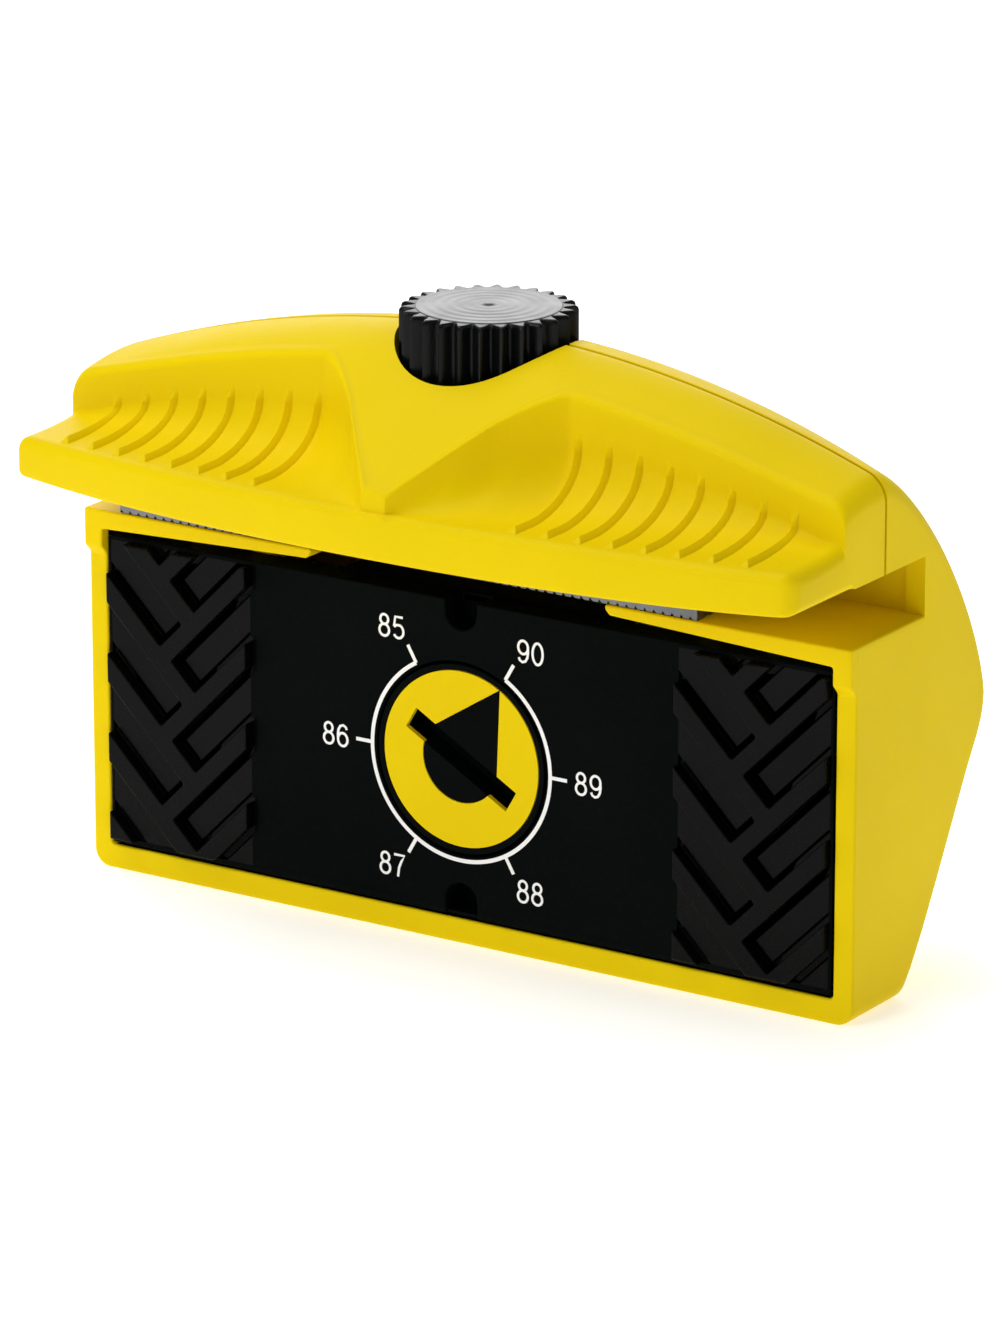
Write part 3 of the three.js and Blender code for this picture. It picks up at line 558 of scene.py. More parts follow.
def cover_outline(x):
    front = lip_front_y(x)
    low = lip_bottom_z(x)
    lip = lip_top_z(x)
    wall_y = wall_top_y(x)
    fillet = min(1.5, 0.55 + 0.95 * max(0.0, (abs(x) - 10) / 8)) + max(0.0, 1 - abs(x) / 6)
    soft = min(fillet, (SEAM_FRONT - wall_y) / 4)
    shoulder_z = cover_top_z(x, wall_y + soft)
    wide = max(0.25, scoop_width(x))
    high = max(0.25, min(scoop_height(x), shoulder_z - lip - soft - 0.1))
    points = [(SEAM_FRONT, SLOT_TOP), (-0.6, SLOT_TOP), (-1.6, low)]
    foot = min(0.5, (lip - low) / 3)
    points += arc(front + foot, low + foot, foot, 270, 180, 4)
    edge = min(LIP_EDGE, (wall_y - wide - front) * 0.7, (lip - low) / 2.5)
    points += arc(front + edge, lip - edge, edge, 180, 90, 8)
    floor_end = wall_y - wide
    floor_start = front + edge
    for share in FLOOR_SHARES[1:]:
        y = floor_start + (floor_end - floor_start) * share
        points.append((y, lip + rib_rise(x, y, lip)))
    for turn in (math.radians(angle) for angle in spread(0, 90, 30)):
        z = lip + high * (1 - math.cos(turn))
        rise = rib_rise(x, floor_end + wide * math.sin(turn), z)
        y = floor_end + (wide - rise) * math.sin(turn)
        points.append((y, lip + high - (high - rise) * math.cos(turn)))
    wall_end = shoulder_z - soft
    for share in (0.2, 0.4, 0.6, 0.8):
        z = lip + high + (wall_end - lip - high) * share
        points.append((wall_y - rib_rise(x, wall_y, z), z))
    slope = (cover_top_z(x, wall_y + soft + 0.1) - shoulder_z) / 0.1
    for share in spread(0, 1, 7)[:-1]:
        turn = share * math.pi / 2
        y = wall_y + soft * (1 - math.cos(turn))
        z = wall_end + soft * math.sin(turn) - slope * soft * (math.cos(turn)) * share * 0.3
        points.append((y, z))
    crown_start = wall_y + soft
    crown_end = SEAM_FRONT - 0.35
    for share in spread(0, 1, 14):
        y = crown_start + (crown_end - crown_start) * share
        points.append((y, cover_top_z(x, y)))
    points.append((SEAM_FRONT - 0.1, crown_z(x, SEAM_FRONT) - 0.09))
    points.append((SEAM_FRONT, ridge_z(x) - 0.35))
    return points


def cover_hollow(side):
    places = spread(16 * side, 56 * side, 8)
    if side < 0:
        places.reverse()

    def outline(x):
        front = SHOULDER_Y + 3.3
        return [
            (front, SLOT_TOP + 2.7),
            (SEAM_Y + 1, SLOT_TOP + 2.71),
            (SEAM_Y + 1, crown_z(x, SEAM_Y + 1, 2.8)),
            (3, crown_z(x, 3, 2.8)),
            (front, crown_z(x, front, 2.9)),
        ]

    hollow = loft_x("hollow", places, outline)
    return cut(hollow, [rod("Y", SCREW_X * side, SCREW_Z, 4.2, -5, 10)])


SCREW_X = 44
SCREW_Z = 66
STUD_RADIUS = 3
NUT_BOTTOM = 67
NUT_HEIGHT = 5
NUT_RADIUS = 5.77


def clamp_cuts():
    """The hollows the clamp's parts sit in, shared by the cover and the housing."""
    hexagon = circle(0, SEAM_Y, NUT_RADIUS + 0.2, 6)
    return [
        rod("Z", 0, SEAM_Y, KNOB_POCKET_RADIUS, KNOB_POCKET_FLOOR, 95, 160),
        rod("Z", 0, SEAM_Y, STUD_RADIUS + 0.4, SLOT_TOP - 1, 95, 48),
        prism(hexagon, "Z", NUT_BOTTOM - 0.15, NUT_BOTTOM + NUT_HEIGHT + 0.15),
        box(-42, 42, 0.6, 13, SLOT_TOP - 1, SLOT_TOP + 1),
        rod("Z", 0, SEAM_Y, 7.2, SLOT_TOP - 1.1, SLOT_TOP + 4, 64),
    ]


def build_cover():
    rib_places = []
    for index in range(RIB_COUNT):
        for aside in (-1, -0.8, -0.55, -0.3, -0.1, 0, 0.1, 0.3, 0.55, 0.8, 1):
            place = RIB_START + RIB_PITCH * index + aside * RIB_HALF_WIDTH
            rib_places += [place, -place]
    keel_places = [side * x for side in (-1, 1) for x in spread(0.2, 19, 47)]
    cover = loft_x("cover", stations(1.0, rib_places + keel_places), cover_outline)
    tools = clamp_cuts() + [cover_hollow(-1), cover_hollow(1)]
    tools += [rod("Y", side * SCREW_X, SCREW_Z, 1.55, 1, 10, 32) for side in (-1, 1)]
    cut(cover, tools)
    piece(cover, "grip_cover_shell", "grip_cover", "body", YELLOW, weighted=False)


# ---- Housing: the shell behind, and the frame with its two shelves in front ----

SEAM_BACK = SEAM_Y + SEAM_GAP
WEB_FRONT = 17.6
WEB_BACK = 19.6
POST_Z = DIAL_Z - 10.5
SCREW_HEAD_Y = 17
SHELL_FRONT = 0.45
SHELL_WALL = 3


def bezier(start, first, second, end, steps):
    corners = (start, first, second, end)
    points = []
    for share in spread(0, 1, steps):
        left = 1 - share
        weights = (left ** 3, 3 * left ** 2 * share, 3 * left * share ** 2, share ** 3)
        points.append(tuple(sum(w * p[i] for w, p in zip(weights, corners)) for i in (0, 1)))
    return points


def shell_outline(x, inset, front_y, top_front_y):
    edge = round_in(x, HALF_LENGTH, 1.2)
    slant = inset + edge
    belly = BELLY_Y - slant
    top = ridge_z(x) - inset
    base = (FLOOR_TOP if inset else 0) + round_in(x, HALF_LENGTH, 2.4)
    fullness = 2 - 0.6 * (x / HALF_LENGTH) ** 2

    def back(y, z):
        return (y - 0.87 * slant, z + 0.5 * slant)

    points = [(front_y, base), (6, base)]
    heel = (back(14.6, base + 0.9), back(15.8, 3.0 + base * 0.4))
    points += bezier((12.6 - slant, base), (14.3 - slant, base), *heel, 6)
    points += [back(18.6, 7.8), back(22, 13.6), back(25.5, 19.8)]
    points += bezier(back(29.1, 26.2), back(31.2, 29.9), (belly, BELLY_Z - 3.2), (belly, BELLY_Z + 0.5), 9)
    for share in spread(0, 1, 30)[1:-1]:
        turn = share * math.pi / 2
        across = math.cos(turn) ** (2 / fullness)
        up = math.sin(turn) ** (2 / fullness)
        y = top_front_y + (belly - top_front_y) * across
        points.append((y, BELLY_Z + 0.5 + (top - BELLY_Z - 0.5) * up))
    points += [(top_front_y + 0.1, top), (top_front_y, top - 0.12)]
    points += [(top_front_y, SLOT_TOP), (front_y, SLOT_TOP)]
    return points


def hinge_lugs(side):
    made = []
    for offset in (-6.3, 3.3):
        x0 = 40 * side + offset
        outline = [(4.9, 49.4), (4.9, 44), (5.8, 42.8), (7.4, 42.8), (9.6, 49.4)]
        lug = prism(outline, "X", x0, x0 + 3)
        made.append(cut(lug, [rod("X", 6.2, 45, 1.03, x0 - 1, x0 + 4, 32)]))
    return made


def build_housing():
    places = spread(-INNER_HALF, INNER_HALF, 24)
    inner = loft_x("inner", places, lambda x: shell_outline(x, SHELL_WALL, -1, SEAM_BACK - 1))
    half = INNER_HALF + 0.5
    kept = [
        box(-half, half, WEB_FRONT, WEB_BACK, 47.4, SLOT_TOP + 2),
        box(-half, half, SEAM_BACK - 3, WEB_BACK - 0.4, SLOT_TOP - 1, SLOT_TOP + 2.6),
        box(-14.5, 14.5, SEAM_BACK - 3, 20.5, SLOT_TOP - 0.5, KNOB_POCKET_FLOOR + 9),
        rod("Y", 0, POST_Z, 3.4, 12, 24, 48),
    ]
    kept += [rod("Y", SCREW_X * side, SCREW_Z, 4.8, SEAM_BACK - 3, 24, 48) for side in (-1, 1)]
    cavity = cut(inner, kept)
    shell = loft_x("shell", stations(2.0), lambda x: shell_outline(x, 0, SHELL_FRONT, SEAM_BACK))
    cut(shell, [cavity])
    cut(shell, [
        box(-70, 70, -5, 17, SHELF_TOP - 0.5, SLOT_TOP),
        box(-INNER_HALF, INNER_HALF, 10, WEB_FRONT, SHELF_TOP - 0.45, SLOT_TOP - 0.01),
    ])
    tools = clamp_cuts() + [rod("Y", 0, POST_Z, 1.53, 10, 18, 32)]
    for side in (-1, 1):
        tools.append(rod("Y", SCREW_X * side, SCREW_Z, 1.75, 5, SCREW_HEAD_Y + 1, 32))
        tools.append(rod("Y", SCREW_X * side, SCREW_Z, 3.5, SCREW_HEAD_Y, 40, 64))
    cut(shell, tools)
    piece(shell, "housing_shell", "housing", "body", YELLOW, weighted=False, degrees=30)

    outer = HALF_LENGTH - OVER
    low = OVER
    outline = [(-outer, SHELF_TOP)] + arc(-outer + 2.4, low + 2.4, 2.4, 180, 270, 8)
    outline += arc(outer - 2.4, low + 2.4, 2.4, 270, 360, 8) + [(outer, SHELF_TOP), (INNER_HALF, SHELF_TOP)]
    outline += arc(INNER_HALF - 0.6, FLOOR_TOP + 0.6, 0.6, 360, 270, 4)
    outline += arc(-INNER_HALF + 0.6, FLOOR_TOP + 0.6, 0.6, 270, 180, 4) + [(-INNER_HALF, SHELF_TOP)]
    bars = [prism(outline, "Y", 0, 2.2)]
    for side in (-1, 1):
        slope = [(-FRAME_PROUD, 45.8), (0.3, 44.3), (2.1, 44.3)]
        slope += [(2.1, SHELF_TOP), (-FRAME_PROUD, SHELF_TOP)]
        ends = sorted((INNER_HALF * side, outer * side))
        bars.append(prism(slope, "X", *ends))
        shelf = [(23, SHELF_TOP), (23, 50.3), (23.7, 49.6), (outer, 48.2), (outer, SHELF_TOP)]
        bars.append(prism([(x * side, z) for x, z in shelf], "Y", -FRAME_PROUD, 17.8))
    frame_bars = bevel(joined(bars), 0.32, 3)
    piece(frame_bars, "housing_frame", "housing", "body", YELLOW)
    lugs = hinge_lugs(-1) + hinge_lugs(1)
    for index, lug in enumerate(lugs):
        piece(bevel(lug, 0.2, 2), f"hinge_lug_{index + 1}", "housing", "body", YELLOW)


# ---- Guide plate and tread pads ----

PLATE_HALF = INNER_HALF - 0.3
PLATE_BOTTOM = FLOOR_TOP + 0.4
PLATE_TOP = 47.4
PLATE_BACK = 4.2
PAD_CENTRE = 45
PAD_HALF = 11.4
PAD_BACK = 1.15
PAD_FLOOR = 0.55
PAD_BOTTOM = PLATE_BOTTOM + 0.85
PAD_TOP = PLATE_TOP - 0.65
TREAD_HEIGHT = 1.4
TREAD_PERIOD = 11.24
FALLING_BAR = (38.1, 42.2)
RISING_BAR = (32.5, 36.1)
FALLING_MIDDLE = sum(FALLING_BAR) / 2 - TREAD_PERIOD
RISING_MIDDLE = sum(RISING_BAR) / 2
GROOVE = 1.2
NOTCH_HALF = 2.45


def meeting(fall, rise):
    """Where the line across + z = fall meets the line z - across = rise."""
    return ((fall - rise) / 2, (fall + rise) / 2)


def falling_strip(low, high, shift):
    left = -PAD_HALF - 1
    middle = RISING_MIDDLE + shift
    return [
        (left, low + shift - left), meeting(low + shift, middle),
        meeting(high + shift, middle), (left, high + shift - left),
    ]


def rising_strip(low, high, shift, right=PAD_HALF + 1):
    middle = FALLING_MIDDLE + shift
    return [
        meeting(middle, low + shift), (right, low + shift + right),
        (right, high + shift + right), meeting(middle, high + shift),
    ]


def build_pad(side, name, node):
    centre = PAD_CENTRE * side

    def pulled(outline, y0, y1):
        return prism([(x + centre, z) for x, z in outline], "Y", y0, y1)

    def area(y0, y1):
        return box(centre - PAD_HALF, centre + PAD_HALF, y0, y1, PAD_BOTTOM, PAD_TOP)

    falling, rising, grooves = [], [], []
    for k in range(-1, 5):
        shift = -TREAD_PERIOD * k
        falling.append(pulled(falling_strip(*FALLING_BAR, shift), -TREAD_HEIGHT, 0.6))
        rising.append(pulled(rising_strip(*RISING_BAR, shift), -TREAD_HEIGHT, 0.6))
        high = FALLING_BAR[1]
        grooves.append(pulled(falling_strip(high - 0.05, high + GROOVE, shift), -1, PAD_FLOOR))
        low, high = RISING_BAR
        grooves.append(pulled(rising_strip(high - 0.05, high + GROOVE, shift), -1.01, PAD_FLOOR + 0.01))
        grooves.append(pulled(rising_strip(low - GROOVE, low + 0.05, shift), -1.02, PAD_FLOOR + 0.02))
    base = cut(area(0, PAD_BACK), grooves)
    bars = combine(joined(falling + rising), [area(-TREAD_HEIGHT - 1, 0.5)], "INTERSECT")
    pad = joined([base, bars])
    left, right = placed(centre - PAD_HALF, 0, 0).x, placed(centre + PAD_HALF, 0, 0).x
    bottom, top = PAD_BOTTOM * MM, PAD_TOP * MM

    def at_rim(edge):
        near = 0.02 * MM
        a, b = (vert.co for vert in edge.verts)
        if min(a.y, b.y) < placed(0, -0.1, 0).y:
            return False
        return any(
            abs(a[axis] - value) < near and abs(b[axis] - value) < near
            for axis, value in ((0, left), (0, right), (2, bottom), (2, top))
        )

    bevel(pad, 0.22, 3, skip=at_rim)
    piece(pad, name, node, "plate", RUBBER)


def notch_outline(open_z, inner_z):
    towards = 1 if inner_z > open_z else -1
    centre = inner_z - NOTCH_HALF * towards
    curve = [(x, centre + towards * (z - centre)) for x, z in arc(0, centre, NOTCH_HALF, 0, 180, 20)]
    return [(NOTCH_HALF, open_z - 2 * towards)] + curve + [(-NOTCH_HALF, open_z - 2 * towards)]


def bar_end_grooves():
    """Grooves in the plate around the right-hand ends of the left pad's rising bars."""
    made = []
    wide = 0.95
    edge = -PAD_CENTRE + PAD_HALF
    for k in range(0, 4):
        shift = -TREAD_PERIOD * k
        low = RISING_BAR[0] - GROOVE + shift + PAD_HALF
        high = min(RISING_BAR[1] + shift + PAD_HALF, PAD_TOP)
        open_above = 1 if high < PAD_TOP else 0
        outline = [
            (edge - 0.3, low - 0.3), (edge + wide, low + wide),
            (edge + wide, high + 0.9 * open_above), (edge - 0.3, high + 0.3 * open_above),
        ]
        made.append(prism(outline, "Y", -1, PAD_FLOOR))
    return made


def build_plate():
    plate = box(-PLATE_HALF, PLATE_HALF, 0, PLATE_BACK, PLATE_BOTTOM, PLATE_TOP)
    collar = rod("Y", 0, DIAL_Z, 14.95, PLATE_BACK - 1, PLATE_BACK + 0.6, 128)
    # A black flange along the plate's top back. It is partly a stiffening flange and partly painted shade:
    # it is sized and placed so the window above the plate shows black where the housing behind it would
    # only be in shade.
    window_shade_flange = box(-22, 22, PLATE_BACK - 0.2, 9.6, PLATE_TOP - 1.5, PLATE_TOP - 0.1)
    ears = []
    for side in (-1, 1):
        x0 = 40 * side - 3
        outline = [(PLATE_BACK - 1, 47.2), (PLATE_BACK - 1, 40.8)] + arc(6.2, 45, 2.2, -90, 90, 16)
        ears.append(cut(prism(outline, "X", x0, x0 + 6), [rod("X", 6.2, 45, 1.06, x0 - 1, x0 + 7, 32)]))
    joined([plate, collar, window_shade_flange] + ears)
    cut(plate, [
        rod("Y", 0, DIAL_Z, 13.35, -1, 2.5, 160),
        rod("Y", 0, DIAL_Z, 9.85, 0, 10, 128),
        prism(notch_outline(PLATE_TOP, PLATE_TOP - 4), "Y", -1, PLATE_BACK),
        prism(notch_outline(PLATE_BOTTOM, PLATE_BOTTOM + 4.6), "Y", -1, PLATE_BACK),
    ])
    walls = [
        box(-3.6, 3.6, PLATE_BACK, PLATE_BACK + 0.9, PLATE_TOP - 5.2, PLATE_TOP - 0.1),
        box(-3.6, 3.6, PLATE_BACK, PLATE_BACK + 0.9, PLATE_BOTTOM + 0.1, PLATE_BOTTOM + 5.8),
        box(-NOTCH_HALF, NOTCH_HALF, 0.4, PLATE_BACK, PLATE_BOTTOM + 0.05, PLATE_BOTTOM + 0.5),
    ]
    bevel(plate, 0.3, 3)
    recesses = []
    for side in (-1, 1):
        x0, x1 = side * PAD_CENTRE - PAD_HALF - OVER, side * PAD_CENTRE + PAD_HALF + OVER
        recesses.append(box(x0, x1, -1, PAD_BACK + OVER, PAD_BOTTOM - OVER, PAD_TOP + OVER))
    cut(plate, recesses)
    cut(plate, bar_end_grooves())
    piece(plate, "guide_plate_body", "guide_plate", "plate", BLACK)
    for index, wall in enumerate(walls):
        piece(wall, f"notch_wall_{index + 1}", "guide_plate", "plate", BLACK)


# ---- Printed scale: ring, ticks and numbers ----

PRINT_FRONT = -0.03
PRINT_BACK = 0.04
STROKE = 0.35


def on_dial(radius, degrees):
    turn = math.radians(degrees)
    return (radius * math.cos(turn), DIAL_Z + radius * math.sin(turn))


def ring_band(radius, width, start, end, steps, y0, y1):
    angles = spread(start, end, steps)
    outline = [on_dial(radius + width / 2, angle) for angle in angles]
    outline += [on_dial(radius - width / 2, angle) for angle in reversed(angles)]
    return prism(outline, "Y", y0, y1)


def stroke_band(path, width, y0, y1, closed=False):
    """A flat band of one width along a path of (x, z) points."""
    count = len(path)
    left, right = [], []
    for i, (x, z) in enumerate(path):
        before = path[(i - 1) % count] if closed or i > 0 else path[i]
        after = path[(i + 1) % count] if closed or i + 1 < count else path[i]
        dx, dz = after[0] - before[0], after[1] - before[1]
        size = math.hypot(dx, dz)
        nx, nz = -dz / size * width / 2, dx / size * width / 2
        left.append((x + nx, z + nz))
        right.append((x - nx, z - nz))
    quads = count if closed else count - 1
    points, faces = [], []
    for y in (y0, y1):
        points += [(x, y, z) for x, z in left] + [(x, y, z) for x, z in right]
    for i in range(quads):
        j = (i + 1) % count
        faces.append([i, j, count + j, count + i])
        faces.append([2 * count + i, 3 * count + i, 3 * count + j, 2 * count + j])
        faces.append([i, 2 * count + i, 2 * count + j, j])
        faces.append([count + i, count + j, 3 * count + j, 3 * count + i])
    if not closed:
        for i in (0, count - 1):
            faces.append([i, count + i, 3 * count + i, 2 * count + i])
    return new_object("stroke", points, faces)


def digit_paths(figure):
    """The figure's strokes as (path, closed) pairs in a box 1.9 wide and 3.3 high about its middle."""
    def oval(x, z, wide, high, start=0, end=360, steps=40):
        closed = end - start == 360
        turns = [math.radians(a) for a in spread(start, end, steps)]
        points = [(x + wide * math.cos(t), z + high * math.sin(t)) for t in turns]
        return (points[:-1], True) if closed else (points, False)

    if figure == "0":
        return [oval(0, 0, 0.78, 1.45)]
    if figure == "8":
        return [oval(0, 0.8, 0.62, 0.66), oval(0, -0.67, 0.76, 0.8)]
    six_tail = [
        (0.66, 0.88), (0.5, 1.24), (0.1, 1.45), (-0.36, 1.28), (-0.66, 0.78), (-0.77, 0.1), (-0.74, -0.62),
    ]
    if figure == "6":
        return [oval(0.0, -0.56, 0.75, 0.9), (six_tail, False)]
    if figure == "9":
        return [oval(0.0, 0.56, 0.75, 0.9), ([(-x, -z) for x, z in six_tail], False)]
    if figure == "7":
        return [([(-0.85, 1.42), (0.82, 1.42), (0.3, 0.55), (-0.05, -0.3), (-0.24, -1.62)], False)]
    if figure == "5":
        flag = [(0.68, 1.42), (-0.5, 1.42), (-0.7, 0.05)]
        bowl = [(-0.68, 0.0), (-0.3, 0.3)] + oval(0, -0.56, 0.78, 0.9, 75, -150, 26)[0]
        return [(flag, False), (bowl, False)]
    raise ValueError(figure)


def build_scale():
    made = [ring_band(14, 0.55, 120, 420, 150, PRINT_FRONT, PRINT_BACK)]
    for degrees in (120, 180, 240, 300, 360, 420):
        tick = [on_dial(14, degrees), on_dial(16.6, degrees)]
        made.append(stroke_band(tick, 0.5, PRINT_FRONT + 0.002, PRINT_BACK))
    labels = {
        "85": (-10.9, 16.5), "90": (10.9, 16.5), "89": (19.9, 0),
        "88": (10.9, -16.5), "87": (-10.9, -16.5), "86": (-19.9, 0),
    }
    for label, (x, z) in labels.items():
        for index, figure in enumerate(label):
            left = x + (index - 0.5) * 2.25
            for layer, (path, closed) in enumerate(digit_paths(figure)):
                moved = [(left + a, DIAL_Z + z + b) for a, b in path]
                front = PRINT_FRONT - 0.008 * layer
                made.append(stroke_band(moved, STROKE, front, PRINT_BACK, closed))
    base = made[0]
    merge(base, made[1:])
    piece(base, "printed_scale", "guide_plate", "plate", PRINT, weighted=False)


def merge(base, others):
    """Puts the other objects' meshes into base as they are."""
    made = bmesh.new()
    made.from_mesh(base.data)
    for other in others:
        made.from_mesh(other.data)
        bpy.data.objects.remove(other)
    made.to_mesh(base.data)
    made.free()


# ---- Angle dial ----

CORE_RADIUS = 13
DISC_RADIUS = 12.1
DISC_THICK = 0.8
LEDGE_Y = 2.5
ARROW_HALF = 5.6
ARROW_TAIL = 6
COIN_HALF_LENGTH = 9
COIN_HALF_WIDTH = 1.55
POINTER_ANGLE = math.radians(60)


def turned_points(points):
    """Turns (along, across) points of the pointer's own frame into (x, z) points on the plate."""
    cos, sin = math.cos(POINTER_ANGLE), math.sin(POINTER_ANGLE)
    return [(a * cos - b * sin, DIAL_Z + a * sin + b * cos) for a, b in points]


def arrow(shrink, y0, y1):
    half = ARROW_HALF - shrink
    tip = DISC_RADIUS + 0.1 - 2 * shrink
    head = [(0, -half), (COIN_HALF_WIDTH, -half), (tip, 0), (COIN_HALF_WIDTH, half), (0, half)]
    tail = arc(0, 0, ARROW_TAIL - shrink, 90, 270, 48)
    shapes = [head, [(1, -3)] + [(1, 3)] + tail]
    return joined([prism(turned_points(shape), "Y", y0 + 0.001 * i, y1) for i, shape in enumerate(shapes)])


def coin_slot(grow, y0, y1):
    along, across = COIN_HALF_WIDTH + grow, COIN_HALF_LENGTH + grow
    corners = [(-along, -across), (along, -across), (along, across), (-along, across)]
    return prism(turned_points(corners), "Y", y0, y1)


def build_dial():
    core = joined([
        rod("Y", 0, DIAL_Z, CORE_RADIUS, 0, LEDGE_Y - 0.2, 160),
        rod("Y", 0, DIAL_Z, 9.6, 1, PLATE_BACK + 0.9, 96),
    ])
    cut(core, [rod("Y", 0, DIAL_Z, DISC_RADIUS + 0.12, -1, DISC_THICK + 0.05, 160)])
    joined([core, arrow(0.08, 0.01, 1.5)])
    groove = cut(rod("Y", 0, DIAL_Z, 11.6, 1.75, LEDGE_Y, 96), [rod("Y", 0, DIAL_Z, 10.3, 1, 3, 96)])
    cut(core, [coin_slot(0, -1, 3.4), rod("Y", 0, DIAL_Z, 1.2, 3.9, 8, 32), groove])
    piece(bevel(core, 0.1, 2), "dial_core_body", "dial_core", "dial", BLACK)
    disc = rod("Y", 0, DIAL_Z, DISC_RADIUS, 0, DISC_THICK, 160)
    cut(disc, [arrow(0, -1, 2), coin_slot(0.06, -1, 2)])
    piece(bevel(disc, 0.06, 2), "dial_disc_face", "dial_disc", "dial", YELLOW)
    ring = cut(rod("Y", 0, DIAL_Z, 11.4, 1.85, LEDGE_Y - 0.03, 96), [rod("Y", 0, DIAL_Z, 10.5, 1, 3, 96)])
    piece(bevel(ring, 0.1, 2), "friction_ring_band", "friction_ring", "plate", RUBBER)


CAM_FRONT = PLATE_BACK + 0.95
CAM_BASE = CAM_FRONT + 1.5


def build_cam():
    """The disc with its rising ramp, the screw that holds it and the post it leans on."""
    reach = 45 - POST_Z
    margin = 15
    rings = []
    for degrees in spread(-margin, 300 + margin, 110):
        share = min(1.0, max(0.0, degrees / 300))
        height = 0.2 + reach * math.sin(math.radians(5) * share)
        angle = math.pi - math.radians(degrees)
        low, high = CAM_BASE - 0.5, CAM_BASE + height
        section = ((8, low), (12.8, low), (12.8, high), (8, high))
        rings.append([(r * math.sin(angle), y, DIAL_Z + r * math.cos(angle)) for r, y in section])
    cam = joined([rod("Y", 0, DIAL_Z, 13, CAM_FRONT, CAM_BASE, 128), rings_object("ramp", rings)])
    cut(cam, [rod("Y", 0, DIAL_Z, 1.7, 0, 20, 32)])
    piece(bevel(cam, 0.15, 2), "angle_cam_ramp", "angle_cam", "dial", POLYMER)
    screw = joined([
        rod("Y", 0, DIAL_Z, 3.2, CAM_BASE + 0.05, CAM_BASE + 1.6, 64),
        rod("Y", 0, DIAL_Z, 1.15, 4.2, CAM_BASE + 0.5, 32),
    ])
    cut(screw, [prism(circle(0, DIAL_Z, 1.3, 6), "Y", CAM_BASE + 0.7, CAM_BASE + 3)])
    piece(bevel(screw, 0.2, 3), "cam_screw_body", "cam_screw", "dial", ZINC)
    post = joined([rod("Y", 0, POST_Z, 1.5, 7.75, 17.8, 48), rod("Y", 0, POST_Z, 0.8, 7.15, 8.2, 32)])
    piece(bevel(post, 0.2, 3), "cam_post_body", "cam_post", "body", ZINC)


# ---- Clamp knob, stud, nut and bar ----

KNOB_BOTTOM = 76.5
KNOB_TOP = 85.7
KNOB_RADIUS = 11.7
KNOB_EDGE = 0.65
CAP_RADIUS = 9.6
GROOVE_DEPTH = 1.6
LOBES = 26


def knob_radius(degrees, z):
    """The grip's outline: round ridges and grooves, with rounded tops and a small foot."""
    groove = (1 + math.cos(math.radians(degrees * LOBES))) / 2
    top = max(0.0, (z - KNOB_TOP + KNOB_EDGE) / KNOB_EDGE)
    foot = max(0.0, 1 - (z - KNOB_BOTTOM) / 0.6)
    rounding = KNOB_EDGE * (1 - math.sqrt(max(0.0, 1 - top * top)))
    return KNOB_RADIUS - GROOVE_DEPTH * groove ** 0.8 - rounding - 0.45 * foot ** 2


def build_knob():
    around = spread(0, 360, LOBES * 16)[:-1]
    heights = spread(KNOB_BOTTOM, KNOB_BOTTOM + 0.6, 4) + [79, 81, 83.2]
    heights += [KNOB_TOP - KNOB_EDGE * (1 - math.sin(math.radians(angle))) for angle in spread(0, 84, 8)]
    rings = []
    for z in heights:
        ring = []
        for degrees in around:
            radius = knob_radius(degrees, z)
            turn = math.radians(degrees)
            ring.append((radius * math.cos(turn), SEAM_Y + radius * math.sin(turn), z))
        rings.append(ring)
    rings.append([(x * 0.985, SEAM_Y + (y - SEAM_Y) * 0.985, KNOB_TOP) for x, y, z in rings[-1]])
    knob = rings_object("knob", rings)
    cut(knob, [
        rod("Z", 0, SEAM_Y, CAP_RADIUS + 0.03, KNOB_TOP - 1, 95, 128),
        rod("Z", 0, SEAM_Y, STUD_RADIUS + 0.03, KNOB_BOTTOM - 1, 83.7, 64),
    ])
    piece(knob, "knob_grip", "clamp_knob", "knob", KNOB, weighted=False, degrees=50)
    profile = [(0, KNOB_TOP - 0.95), (CAP_RADIUS, KNOB_TOP - 0.95), (CAP_RADIUS, KNOB_TOP - 0.05)]
    profile += [(r + CAP_RADIUS - 0.12, z + KNOB_TOP - 0.05) for r, z in arc(0, 0, 0.12, 20, 80, 3)]
    for radius in spread(9.2, 1.4, 60):
        wave = 0.02 * math.sin(radius * 4.2) * (1 if radius > 3.4 else 0.5)
        dome = 0.14 * (1 - (radius / 9.2) ** 2)
        profile.append((radius, KNOB_TOP + 0.08 + dome + wave))
    profile += [(r, KNOB_TOP + rise) for r, rise in ((0.9, 0.24), (0.7, 0.33), (0.35, 0.38), (0, 0.39))]
    cap = turned("cap", 0, SEAM_Y, profile, 128)
    piece(cap, "knob_face", "knob_cap", "knob", KNOB_FACE, weighted=False, degrees=35)


FILE_BOTTOM = SHELF_TOP + 0.05
FILE_TOP = FILE_BOTTOM + 4
BAR_BOTTOM = FILE_TOP + 0.1
BAR_TOP = BAR_BOTTOM + 2.4
BOSS_TOP = BAR_TOP + 3
TIP_BOTTOM = BOSS_TOP - 2.2


def thread(x, y, radius, depth, low, high, pitch):
    """A screw's threaded length: a turned shaft whose edge rises and falls along one long spiral."""
    sides = 32
    rings = []
    for z in spread(low, high, round((high - low) / pitch * 8)):
        ring = []
        ease = min(1.0, (z - low) / 0.5, (high - z) / 0.5)
        for i in range(sides):
            share = (z / pitch - i / sides) % 1
            out = radius - depth * ease * (1 - abs(2 * share - 1))
            turn = 2 * math.pi * i / sides
            ring.append((x + out * math.cos(turn), y + out * math.sin(turn), z))
        rings.append(ring)
    return rings_object("thread", rings)


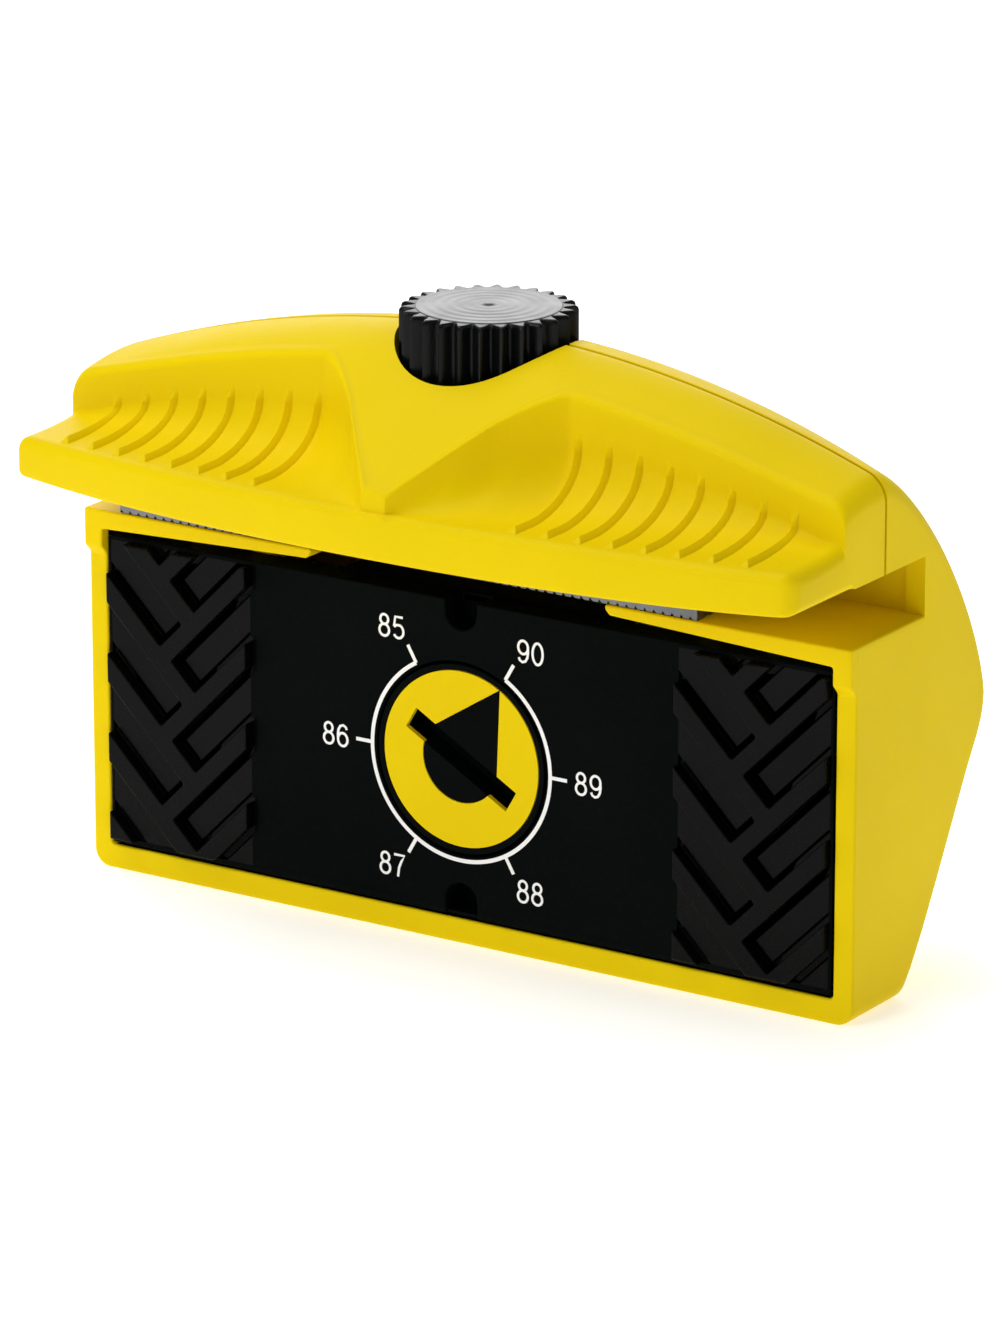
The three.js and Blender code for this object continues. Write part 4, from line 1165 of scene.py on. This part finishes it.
def build_clamp():
    shaft = thread(0, SEAM_Y, 3, 0.45, BOSS_TOP + 1.2, 83.6, 1)
    tip = turned("tip", 0, SEAM_Y, [
        (0, TIP_BOTTOM), (2.45, TIP_BOTTOM), (2.6, TIP_BOTTOM + 0.15), (2.6, TIP_BOTTOM + 0.9),
        (1.8, TIP_BOTTOM + 0.9), (1.8, BOSS_TOP + 0.3), (2.9, BOSS_TOP + 1.25), (0, BOSS_TOP + 1.25),
    ], 48)
    merge(shaft, [tip])
    piece(shaft, "stud_thread", "clamp_stud", "knob", ZINC, weighted=False)
    nut = prism(circle(0, SEAM_Y, NUT_RADIUS, 6), "Z", NUT_BOTTOM, NUT_BOTTOM + NUT_HEIGHT)
    cut(nut, [rod("Z", 0, SEAM_Y, STUD_RADIUS + 0.05, NUT_BOTTOM - 1, NUT_BOTTOM + NUT_HEIGHT + 1, 64)])
    piece(bevel(nut, 0.25, 2), "clamp_nut_body", "clamp_nut", "body", ZINC)
    bar = joined([
        box(-41, 41, 1.4, 12.2, BAR_BOTTOM, BAR_TOP),
        rod("Z", 0, SEAM_Y, 6.2, BAR_BOTTOM + 1, BOSS_TOP, 96),
    ])
    cut(bar, [
        rod("Z", 0, SEAM_Y, 2.9, TIP_BOTTOM - 0.15, BOSS_TOP + 1, 64),
        rod("Z", 0, SEAM_Y, 4.6, BOSS_TOP - 1, BOSS_TOP + 1, 64),
    ])
    piece(bevel(bar, 0.3, 3), "pressure_bar_body", "pressure_bar", "clamp", ZINC)
    clip = rod("Z", 0, SEAM_Y, 4.5, BOSS_TOP - 0.95, BOSS_TOP - 0.1, 96)
    cut(clip, [rod("Z", 0, SEAM_Y, 2, BOSS_TOP - 2, BOSS_TOP + 1, 48)])
    piece(bevel(clip, 0.15, 2), "foot_clip_ring", "foot_clip", "clamp", ZINC)


# ---- File ----

FILE_LEFT = -54.1
FILE_RIGHT = 36.9
FILE_FRONT = -1
FILE_BACK = 16.8
TOOTH_PITCH = 1.38
TOOTH_DEPTH = 0.5


def build_file():
    """A flat file whose lower face is cut with slanted teeth that notch its front edge."""
    slant = 6.5
    start = FILE_LEFT - slant - 2 * TOOTH_PITCH
    teeth = round((FILE_RIGHT - start) / TOOTH_PITCH) + 4
    lower = []
    for i in range(teeth):
        x = start + TOOTH_PITCH * i
        lower += [(x, FILE_BOTTOM), (x + 0.5 * TOOTH_PITCH, FILE_BOTTOM)]
        lower.append((x + 0.66 * TOOTH_PITCH, FILE_BOTTOM + TOOTH_DEPTH))
    outline = lower + [(lower[-1][0], FILE_TOP), (start, FILE_TOP)]
    count = len(outline)
    points = [(x, FILE_FRONT - 1, z) for x, z in outline]
    points += [(x + slant, FILE_BACK + 1, z) for x, z in outline]
    faces = [list(range(count)), list(range(2 * count - 1, count - 1, -1))]
    faces += [[i, (i + 1) % count, (i + 1) % count + count, i + count] for i in range(count)]
    toothed = new_object("file", points, faces)
    blank = box(FILE_LEFT, FILE_RIGHT, FILE_FRONT, FILE_BACK, FILE_BOTTOM, FILE_TOP)
    combine(toothed, [bevel(blank, 0.12, 2)], "INTERSECT")
    piece(toothed, "file_blade", "file", "file", BLADE, weighted=False, degrees=20)


def build_pins_and_screws():
    for side, name in ((-1, "left"), (1, "right")):
        half = 6.2
        pin = bevel(rod("X", 6.2, 45, 1, side * 40 - half, side * 40 + half, 48), 0.2, 3)
        piece(pin, f"{name}_pin_rod", f"{name}_hinge_pin", "body", ZINC)
        x = side * SCREW_X
        head = joined([
            rod("Y", x, SCREW_Z, 3, SCREW_HEAD_Y + 0.1, SCREW_HEAD_Y + 2.2, 64),
            rod("Y", x, SCREW_Z, 1.5, 1.3, SCREW_HEAD_Y + 0.5, 32),
        ])
        cut(head, [prism(circle(x, SCREW_Z, 1.4, 6), "Y", SCREW_HEAD_Y + 1, SCREW_HEAD_Y + 4)])
        piece(bevel(head, 0.3, 3), f"{name}_screw_body", f"{name}_cover_screw", "body", ZINC)


build_cover()
build_housing()
build_plate()
build_pad(-1, "left_tread", "left_tread_pad")
build_pad(1, "right_tread", "right_tread_pad")
build_scale()
build_dial()
build_cam()
build_knob()
build_clamp()
build_file()
build_pins_and_screws()
